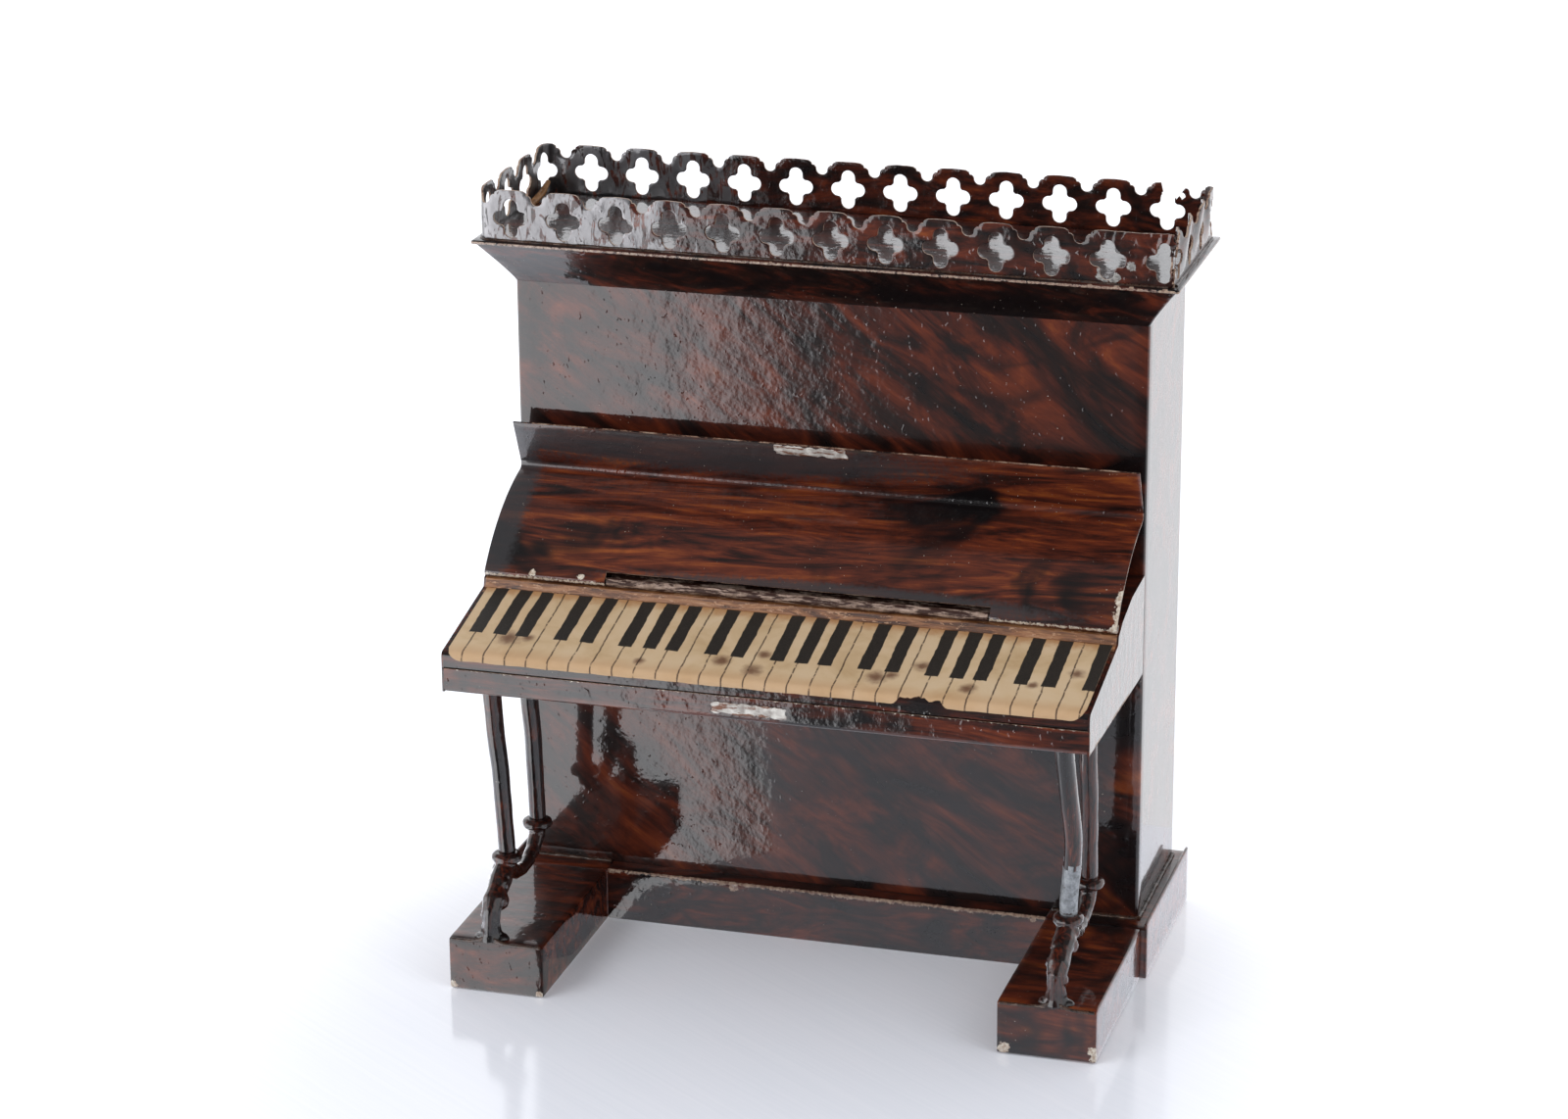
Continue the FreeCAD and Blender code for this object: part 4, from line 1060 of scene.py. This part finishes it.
def fall_path():
    """Side view of the fall's front face, from the end of its roll to the lip's edge."""
    roll = arc((HINGE.y, HINGE.z), KNUCKLE, 400, FALL_ROOT, 16)
    reach = (FALL_HIGH.y - GAUGE - HINGE.y) / cos(radians(FALL_OPEN))
    crease = Vector((FALL_HIGH.y - GAUGE, HINGE.z + reach * sin(radians(FALL_OPEN))))
    lip = crease + LIP_LENGTH * Vector((cos(radians(LIP_ANGLE)),
                                        sin(radians(LIP_ANGLE))))
    root = Vector(roll[-1])
    half_chord = (crease - root) / 2
    down = Vector((half_chord.y, -half_chord.x)).normalized()
    centre = root + half_chord + down * sqrt(FALL_BOW ** 2 - half_chord.length ** 2)
    start = degrees(atan2(root.y - centre.y, root.x - centre.x))
    end = degrees(atan2(crease.y - centre.y, crease.x - centre.x))
    bow = arc(centre, FALL_BOW, start, end, 16)
    edge = subdivided([(crease.x, crease.y), (lip.x, lip.y)], 1.2)
    path = roll[:-1] + bow[:-1] + edge
    return rounded_corner(path, len(roll) - 1 + len(bow) - 1, 1.35, 8), len(roll) - 1


def make_fall(looks):
    path, root = fall_path()
    half, notch = FALL_HIGH.x, LEAF_HIGH.x + 0.3
    columns = steps(-half, -notch, 1.6) + steps(-notch, notch, 1.6)[1:] + steps(notch, half,
                                                                                1.6)[1:]
    rows = [[(x, y, z) for x in columns] for y, z in path]
    clear = next(index for index, point in enumerate(path)
                 if index > root and dist(point, (HINGE.y, HINGE.z)) > KNUCKLE + 0.17)

    def keep(row, column):
        middle = (columns[column] + columns[column + 1]) / 2
        return abs(middle) > notch or row >= clear

    mesh = grid(rows, keep=keep)

    def wave(vertex):
        near_pin = dist(vertex.co.yz, (HINGE.y, HINGE.z)) < KNUCKLE + 0.3
        height = 0.05 * ripple(vertex.co, 22, 41) + 0.02 * ripple(vertex.co, 6, 42)
        return height * (0.2 if near_pin else 1.0)

    mesh.normal_update()
    push(mesh.verts, wave)

    def lost(place):
        bottom = place.z - HINGE.z
        right_edge = half - place.x
        corner = max(right_edge - 0.9, (bottom - 5.0) * 0.6, 0)
        foot = abs(bottom + 0.2) + 0.10
        lip = FALL_HIGH.z - place.z + 0.45
        return min(corner, foot, lip, right_edge + 0.55)

    piece("fall_sheet", mesh, [looks["fall"], looks["fall_rim"]], "fall", ["fall"],
          thick=GAUGE - 0.03,
          bevel=0.04, rim=1, paint=bare_where(lost, 1.0))


def flake(low, high, depth_axis, seed, rough=0.35):
    """A ragged crust of old solder inside a flat box, thickest in its middle."""
    mesh = rounded_block(low, high, min(high[k] - low[k] for k in range(3)) * 0.45, 0.35)
    middle = (Vector(low) + Vector(high)) / 2
    for vertex in mesh.verts:
        away = vertex.co - middle
        for axis in range(3):
            size = (high[axis] - low[axis]) / 2
            bite = abs(ripple(vertex.co + Vector((axis * 9, 0, 0)), 1.1, seed))
            share = 1 - rough * bite * (0.5 if axis == depth_axis else min(1, 0.9 / size))
            away[axis] *= share
        vertex.co = middle + away
    return mesh


def make_catch_remains(looks):
    for node, body, seed in (("rail_catch_solder", "case", 51), ("fall_catch_solder", "fall", 52)):
        low, high = span(node)
        if body == "fall":
            turn = radians(LIP_ANGLE - 90)
            width, height, thick = high.x - low.x, 2.2, 0.34
            mesh = flake((-width / 2, -thick / 2, -height), (width / 2, thick / 2, 0), 1, seed, 0.8)
            place = Vector(((low.x + high.x) / 2, FALL_HIGH.y - GAUGE + LIP_LENGTH
                            * cos(radians(LIP_ANGLE)), high.z - 0.06))
            spin = Matrix.Rotation(turn, 4, "X")
            for vertex in mesh.verts:
                vertex.co = place + spin @ vertex.co
        else:
            mesh = flake(low, (high.x, high.y + 0.12, high.z), 1, seed, 0.8)
        piece(node.replace("_solder", "_remains"), mesh, [looks["flaky"]], body, [node])


# ---- legs

def column_shape(way, angle):
    """A cast column has two ridges, one in front and one outside, and a parting line."""
    ridge = 0.13 * exp(-((cos(angle - 0.6) - 1) / 0.05) ** 2)
    ridge += 0.13 * exp(-((cos(angle - 2.9) - 1) / 0.05) ** 2)
    return 0.93 + ridge + 0.05 * ripple((way * 33, angle, 0), 4, 61)


BARE_LEG = 9.5


def make_columns(looks):
    for side in ("left", "right"):
        for row in ("front", "rear"):
            name = "column_%s_%s" % (row, side)
            low, high = span(name)
            x = (low.x + high.x) / 2
            foot = Vector((x, high.y - 1.5, low.z - 0.3))
            head = Vector((x, low.y + 1.6, high.z + 0.02))
            kink = 1.1 if name == "column_front_right" else 0.15
            path = []
            for way in steps(0, 1, 1 / 36):
                bow = min(way / 0.40, (1 - way) / 0.60)
                bow = bow * bow * (3 - 2 * bow)
                point = foot.lerp(head, way)
                path.append(point + Vector((kink * bow, 0.2 * ripple((way * 33, x, 0), 9, 62), 0)))
            mesh = tube(path, lambda way: 1.5 + 0.12 * way, 20, column_shape)
            if name == "column_front_right":
                bare_top = low.z + BARE_LEG
                dress_faces(mesh,
                            lambda middle: middle.z < bare_top + 1.3 * ripple(middle, 1.0, 63))
            piece(name + "_casting", mesh, [looks["casting"], looks["lead"]], "case", [name])


def blob(centre, radius, squash=(1, 1, 1)):
    """A small ball, squashed, that the remesh melts into the casting."""
    mesh = bmesh.new()
    bmesh.ops.create_icosphere(mesh, subdivisions=2, radius=radius)
    for vertex in mesh.verts:
        vertex.co = Vector([vertex.co[k] * squash[k] for k in range(3)]) + Vector(centre)
    return mesh


def make_brackets(looks):
    for side, sign in (("left", -1), ("right", 1)):
        name = "scroll_bracket_" + side
        low, high = span(name)
        x = (low.x + high.x) / 2
        top = high.z - 1.6

        def at(y, z, across=0.0):
            return Vector((x + sign * across, FRONT + y, z))

        front_y, rear_y = -28.5, -12.8
        scroll = [at(-37.0, 9.2), at(-37.1, 10.6), at(-37.2, 12.4), at(-36.9, 14.2),
                  at(-35.6, 15.6),
                  at(-33.6, 16.8), at(-31.6, 18.0), at(-29.9, 19.2), at(front_y, 20.6)]
        bulge = {0: 2.3, 1: 1.75, 2: 1.5, 3: 1.55, 4: 1.9, 5: 1.75, 6: 2.0, 7: 1.75, 8: 1.9}
        flutes = lambda way, angle: 1 + 0.10 * cos(4 * angle) * (way < 0.5)
        body = tube(scroll, lambda way: bulge[round(way * 8)], 16, flutes)
        link = [at(rear_y, 20.6), at(rear_y - 0.6, 18.6), at(rear_y - 2.4, 16.9),
                at(rear_y - 5.4, 15.9),
                at(-21.6, 15.7), at(-24.6, 16.4), at(-27.0, 18.0), at(-28.6, 19.6)]
        arm = tube(link, lambda way: 1.65 - 0.45 * sin(pi * way), 14)
        collars = []
        for y in (front_y, rear_y):
            ring = [at(y, z) for z in steps(top - 0.25, high.z - 0.02, 0.3)]
            collars.append(tube(ring, lambda way: 1.9 + 0.75 * sin(pi * way) ** 0.5, 20))
        knobs = [blob(at(-31.2, 17.3, 0.7), 1.75), blob(at(-34.6, 15.3, -0.6), 1.8),
                 blob(at(-33.1, 17.7, -0.5), 1.45), blob(at(-36.6, 13.3, 0.5), 1.5)]
        mound = blob(at(-36.9, 9.3), 3.1, (1.05, 0.55, 0.42))
        solder = blob(at(front_y - 1.2, 19.0, 1.0), 1.3)
        mesh = join([body, arm, mound, solder] + collars + knobs)
        for vertex in mesh.verts:
            vertex.co.z = max(vertex.co.z, low.z - 0.05)
        cast = piece(name + "_casting", mesh, [looks["casting"]], "case", [name],
                     voxel=0.17, smooth=4)
        push(cast.data.vertices, lambda vertex: 0.09 * MM * ripple(vertex.co / MM, 1.3, 64))


# ---- feet and base

FOOT_MOUND_X = 49.2
REAR_STEP, REAR_WALL, INNER_SUNK = 0.8, 0.55, 0.15
SOLDER_Z = 9.4


def make_feet(looks):
    for side, sign in (("left", -1), ("right", 1)):
        low, high = span("foot_front_" + side)
        mesh = rounded_block(low, high, 0.30, 1.1)
        centre = FOOT_MOUND_X * sign
        for vertex in mesh.verts:
            front_edge = exp(-((vertex.co.y - low.y) / 0.8) ** 2)
            front_edge *= vertex.co.z > high.z - 1.2
            arch = exp(-((vertex.co.x - centre) / 2.3) ** 2)
            vertex.co.z += front_edge * (0.35 * arch - 0.25 + 0.12 * ripple(vertex.co, 2.2, 71))
        dent(mesh, (0.05, 11, 72), (0.025, 3, 73))
        keep_inside(mesh.verts, low, high)
        edge = lambda place, low=low, high=high: 0.35 + min(
            abs(place.y - low.y) + abs(place.z - high.z),
            abs(place.y - low.y) + min(abs(place.x - low.x), abs(place.x - high.x)) + 0.3,
            abs(place.z) + abs(place.y - low.y) + 0.2)
        if side == "left":
            dress_faces(mesh, lambda middle: middle.x > high.x - 0.1)
        piece("foot_front_%s_shell" % side, mesh, [looks["foot_" + side], looks["foot_inside"]],
              "case", ["foot_front_" + side, "foot_sole_front_" + side],
              paint=bare_where(edge, 1.1))

        low, high = span("foot_rear_" + side)
        front, top = low.y + 0.12, high.z - REAR_STEP
        inner_low, inner_high = Vector((low.x, front, low.z)), Vector((high.x, high.y, top))
        if side == "left":
            inner_low.x += INNER_SUNK
        else:
            inner_high.x -= INNER_SUNK
        inner = rounded_block(inner_low, inner_high, 0.3, 1.4)
        outer_x = high.x - REAR_WALL if side == "right" else low.x
        wall = rounded_block((outer_x, front, low.z), (outer_x + REAR_WALL, high.y, high.z),
                             0.25, 1.4)
        for mesh in (inner, wall):
            dent(mesh, (0.04, 12, 74), (0.012, 3, 75))
            keep_inside(mesh.verts, low, high)
        piece("foot_rear_%s_shell" % side, join([inner, wall]), [looks["foot_" + side]], "case",
              ["foot_rear_" + side, "foot_sole_rear_" + side])

        low, high = span("foot_front_" + side)
        rise = lambda x: exp(-((x - centre) / 2.2) ** 2)
        path = [(x, low.y + 0.15, 9.02 + rise(x)) for x in steps(low.x + 0.35, high.x - 0.35, 0.5)]
        under = [(x, y, (z + 9.0) / 2) for x, y, z in path]
        front = [(x, FRONT - 0.1, SOLDER_Z - 0.05) for x in steps(40.0 * sign, 54.9 * sign, 0.7)]
        flank = [((CASE_HIGH.x + 0.2) * sign, y, SOLDER_Z) for y in steps(FRONT, CASE_HIGH.y, 0.9)]
        beads = [tube(path, 0.24, 8, beaded(0.4, 16, 1.2, 76)), tube(under, 0.3, 8),
                 tube(front, 0.42, 8, beaded(0.3, 15, 1.5, 77)),
                 tube(flank, 0.4, 8, beaded(0.3, 29, 1.5, 78))]
        piece("foot_solder_" + side, join(beads), [looks["seam"]], "case",
              voxel=0.14, smooth=1)

    path = [(RAIL_LOW.y, RAIL_LOW.z), (RAIL_LOW.y, RAIL_HIGH.z), (RAIL_HIGH.y, RAIL_HIGH.z)]
    path = subdivided(rounded_corner(path, 1, 0.45), 1.3)
    mesh = grid(swept(path, RAIL_LOW.x, RAIL_HIGH.x, 1.4))
    dent(mesh, (0.05, 13, 79), (0.02, 3, 80))
    lost = lambda place: abs(place.z - RAIL_HIGH.z) * 0.8 + abs(place.y - RAIL_LOW.y)
    piece("base_rail_sheet", mesh, [looks["base"]], "case", ["base_rail"], thick=GAUGE,
          paint=bare_where(lost, 0.9))


# ---- looks

UPRIGHT = (0, 90, 0)
KEY_PITCH, FIRST_LINE, BLACK_DEPTH = 3.736, -51.36, 6.9
PAINTS = {
    "panel": dict(turn=(0, -35, 0), length=26, width=10, shift=(40, 7, 11), lumps=0.24),
    "side": dict(turn=(0, -35, 0), length=26, width=10, shift=(40, 7, 11), lumps=0.10, dust=0.5),
    "cove": dict(turn=(0, -20, 0), length=16, width=4.5, shift=(9, 31, 5), dark=0.075, dust=0.7,
                 lumps=0.35),
    "top": dict(length=40, width=5, shift=(3, 3, 60), dark=0.06, wear=0.66, lumps=0.4,
                under=(PRIMER, BARE),
                chips=((50.5, -0.9, 123.0, 0.55), (53.0, -0.9, 122.9, 0.5),
                       (46.0, -0.9, 122.9, 0.45), (-8.0, -1.0, 122.9, 0.35),
                       (58.5, -0.8, 123.0, 0.5))),
    "gallery": dict(length=14, width=4.5, shift=(20, 5, 33),
                    chips=((48.2, 0.0, 124.6, 1.5), (49.8, 0.0, 124.2, 1.2),
                           (52.6, 0.0, 126.2, 0.9)),
                    under=((0.16, 0.15, 0.145), (0.36, 0.35, 0.33)), tin=(-34.0, -8.0)),
    "keybed": dict(length=18, width=1.6, shift=(14, 2, 9), dark=0.04, wear=0.4, lumps=0.3),
    "rail": dict(length=22, width=2.6, shift=(4, 19, 2), warm=0.02, wear=0.50, lumps=0.4),
    "fall": dict(turn=(0, 3, 0), length=26, width=3.4, shift=(17, 26, 41), warm=0.085, wear=0.80,
                 lumps=0.45, coat_roughness=0.12, streaks=0.40,
                 chips=((-46.2, -15.4, 69.9, 0.75), (-37.6, -15.4, 69.9, 0.7),
                        (-41.0, -15.6, 70.6, 0.4)),
                 # painted shade at the fall's left end, along its foot by the hinge and over its
                 # overhanging lip
                 painted_shade=(((-54.5, -10, 78), (4.2, 30, 16)), ((8, -15.5, 70.6), (38, 3, 2.0)),
                       ((-22, -4, 87.5), (48, 12, 4.5)))),
    "base": dict(length=20, width=5, shift=(28, 9, 17), dark=0.03, wear=0.95, under=(PRIMER, BARE),
                 chips=((-16.4, 1.3, 8.6, 1.1), (37.5, 1.3, 8.7, 0.7))),
    "foot_left": dict(length=16, width=5, shift=(2, 12, 25), warm=0.04, wear=0.6, coat=0.75,
                      lumps=0.45, chips=((-55.9, -33.8, 0.5, 1.0), (-40.2, -33.8, 0.4, 0.8))),
    "foot_right": dict(length=16, width=4.5, shift=(31, 2, 5), warm=0.09, wear=0.6, coat=0.85,
                       lumps=0.45, chips=((40.7, -33.8, 1.0, 1.3), (55.8, -33.8, 2.0, 1.0),
                                          (56.3, -33.6, 0.9, 1.1))),
    "foot_inside": dict(length=16, width=5, shift=(2, 12, 25), warm=0.05, coat=0.25),
    "cheek": dict(length=18, width=4, shift=(5, 6, 7), wear=0.2),
    "back": dict(turn=UPRIGHT, length=40, width=9, shift=(35, 14, 3), dark=0.03, lumps=0.8),
    "casting": dict(turn=UPRIGHT, length=9, width=1.4, shift=(7, 3, 3), dark=0.04, lumps=0.6,
                    dust=0.5),
}


def make_looks():
    """Every material, by the name its pieces use."""
    looks = {name: rosewood(name, **settings) for name, settings in PAINTS.items()}
    looks.update({
        "edge": bare_edge("worn_edge", 0.42),
        "rim": bare_edge("rubbed_rim", 0.33),
        "fall_rim": bare_edge("rubbed_fall_rim", 0.40),
        "riser": riser_paint("riser_primer"),
        "print": keyboard_print("printed_keys", KEY_PITCH, FIRST_LINE, BLACK_DEPTH),
        "torn": old_metal("torn_paper", (0.22, 0.11, 0.06), (0.50, 0.34, 0.22), 0.0, 0.8),
        "worn_metal": old_metal("worn_knuckle", (0.18, 0.12, 0.09), (0.46, 0.34, 0.28), 0.1, 1.6,
                                (0.035, 0.012, 0.008), 0.52),
        "wire": old_metal("hinge_wire", (0.12, 0.11, 0.11), (0.35, 0.33, 0.32), 0.9),
        "lead": old_metal("bare_lead", (0.16, 0.17, 0.18), (0.34, 0.36, 0.38), 0.55, 1.0,
                          (0.04, 0.02, 0.015), 0.66),
        "flaky": old_metal("flaky_solder", (0.30, 0.27, 0.25), (0.68, 0.66, 0.62), 0.0, 1.5,
                           (0.16, 0.065, 0.035), 0.60, 0.4),
        "seam": old_metal("varnished_solder", (0.010, 0.006, 0.005), (0.07, 0.035, 0.022), 0.0, 0.9,
                          (0.30, 0.21, 0.16), 0.69, 0.12),
        "amber": old_metal("amber_solder", (0.12, 0.05, 0.015), (0.30, 0.15, 0.06), 0.0, 1.2, UMBER,
                           0.7, 0.15),
    })
    return looks


def dress_cad(looks):
    """Materials for the CAD nodes that stay: plates behind, below and at the cheeks."""
    kept = {"case_back": "back", "case_bottom": "back", "cheek_left": "cheek",
            "cheek_right": "cheek"}
    for node, look in kept.items():
        item = frame["nodes"][node]
        item.data.materials.clear()
        item.data.materials.append(looks[look])


# ---- stage

SWEEP_GLOW, CARD_GLOW, CEILING_GLOW, ROOM_GLOW, FILL_GLOW = 1.30, 3.8, 0.12, 0.09, 0.80


def make_ground(name, corners, height, look):
    """A flat stage piece through plan corners in metres."""
    data = bpy.data.meshes.new(name)
    data.from_pydata([(x, y, height) for x, y in corners], [], [tuple(range(len(corners)))])
    data.materials.append(look)
    ground = bpy.data.objects.new(name, data)
    bpy.context.scene.collection.objects.link(ground)
    return ground


def make_floor():
    """The floor the camera sees, and glowing patches below it that only reflections see: painted
    light in place of the nearby floor that the varnish mirrors.
    """
    look = floor_material()
    floor = make_ground("floor", [(-1.6, -1.2), (1.6, -1.2), (1.6, 2.0), (-1.6, 2.0)], -0.0002,
                        look)
    floor.visible_glossy = False
    # These patches glow as painted light for the lit floor ahead of and beside the piano, seen only
    # in the varnish.
    near = [(-0.038, -0.014), (-0.02, -0.03), (-0.057, -0.135), (0.16, -0.135), (0.16, 0.07),
            (-0.038, 0.07)]
    beside = [(-0.13, -0.05), (-0.075, -0.05), (-0.075, 0.06), (-0.13, 0.06)]
    for name, corners, strength in (("ahead", near, 1.0), ("beside", beside, 2.4)):
        glow, nodes, shader = material("floor_glow_" + name)
        mottle = nodes.noise(nodes.place(), 30.0)
        nodes.put(shader, "Emission Color",
                  nodes.ramp(mottle, (0.3, (0.42, 0.43, 0.47)), (0.7, (0.52, 0.53, 0.58))))
        nodes.put(shader, "Emission Strength", strength)
        mirrored = make_ground("floor_in_reflections_" + name, corners, -0.0008, glow)
        mirrored.visible_camera = mirrored.visible_diffuse = mirrored.visible_shadow = False


def make_world():
    """A white studio. Glossy paint sees a bright back, bright sides and a card at the left."""
    world = bpy.data.worlds.new("studio")
    world.use_nodes = True
    bpy.context.scene.world = world
    tree = world.node_tree
    tree.nodes.clear()
    nodes = Nodes(tree)
    x, y, z = nodes.add("ShaderNodeSeparateXYZ",
                        Vector=nodes.add("ShaderNodeTexCoord").outputs["Generated"]).outputs
    low = nodes.fall_off(z, 0.45, 0.70)
    behind = nodes.times(nodes.step(y, -0.10, 0.10), low)
    sideways = nodes.times(nodes.step(nodes.math("ABSOLUTE", x), 0.55, 0.80), low)
    sweep = nodes.times(nodes.most(behind, sideways), SWEEP_GLOW)
    leftness = nodes.math("DIVIDE", nodes.times(x, -1.0),
                          nodes.most(nodes.times(y, -1.0), 0.05))
    card = nodes.times(nodes.step(leftness, 0.280, 0.330), nodes.step(nodes.times(y, -1.0), 0, 0.1))
    card = nodes.times(card, nodes.fall_off(z, 0.20, 0.45))
    card = nodes.times(card, nodes.step(z, -0.97, -0.80))
    light = nodes.most(sweep, nodes.times(card, CARD_GLOW))
    light = nodes.most(light, nodes.times(nodes.step(z, 0.5, 0.8), CEILING_GLOW))
    glossy = nodes.add("ShaderNodeBackground", Color=(0.96, 0.97, 1.0, 1),
                       Strength=nodes.plus(light, ROOM_GLOW))
    path = nodes.add("ShaderNodeLightPath")
    plain = nodes.add("ShaderNodeBackground", Color=(1.0, 1.0, 1.0, 1),
                      Strength=nodes.scaled(path.outputs["Is Camera Ray"], 1.0 - FILL_GLOW,
                                            FILL_GLOW))
    either = nodes.add("ShaderNodeMixShader")
    nodes.put(either, "0", path.outputs["Is Glossy Ray"])
    nodes.put(either, "1", plain.outputs[0])
    nodes.put(either, "2", glossy.outputs[0])
    output = nodes.add("ShaderNodeOutputWorld")
    nodes.put(output, "Surface", either.outputs[0])


def make_light(name, place, aim, size, power, colour=(1, 1, 1)):
    data = bpy.data.lights.new(name, "AREA")
    data.shape = "RECTANGLE"
    data.size, data.size_y = size
    data.energy = power
    data.color = colour
    light = bpy.data.objects.new(name, data)
    light.location = place
    light.rotation_euler = (Vector(aim) - Vector(place)).to_track_quat("-Z", "Y").to_euler()
    light.visible_camera = False
    light.visible_glossy = False
    bpy.context.scene.collection.objects.link(light)


def make_stage():
    make_floor()
    make_world()
    middle = (0, 0, 0.06)
    make_light("key_left", (-0.55, -0.65, 0.75), middle, (0.5, 0.5), 3.4, (1.0, 0.99, 0.97))
    make_light("fill_right", (0.75, -0.35, 0.5), middle, (0.5, 0.7), 1.6, (0.96, 0.98, 1.0))
    bpy.context.scene.view_settings.view_transform = "Standard"


make_camera()
make_stage()
looks = make_looks()
make_case(looks)
make_cornice(looks)
make_gallery(looks)
make_keybed(looks)
make_keyboard(looks)
make_hinge(looks)
make_fall(looks)
make_catch_remains(looks)
make_columns(looks)
make_brackets(looks)
make_feet(looks)
dress_cad(looks)
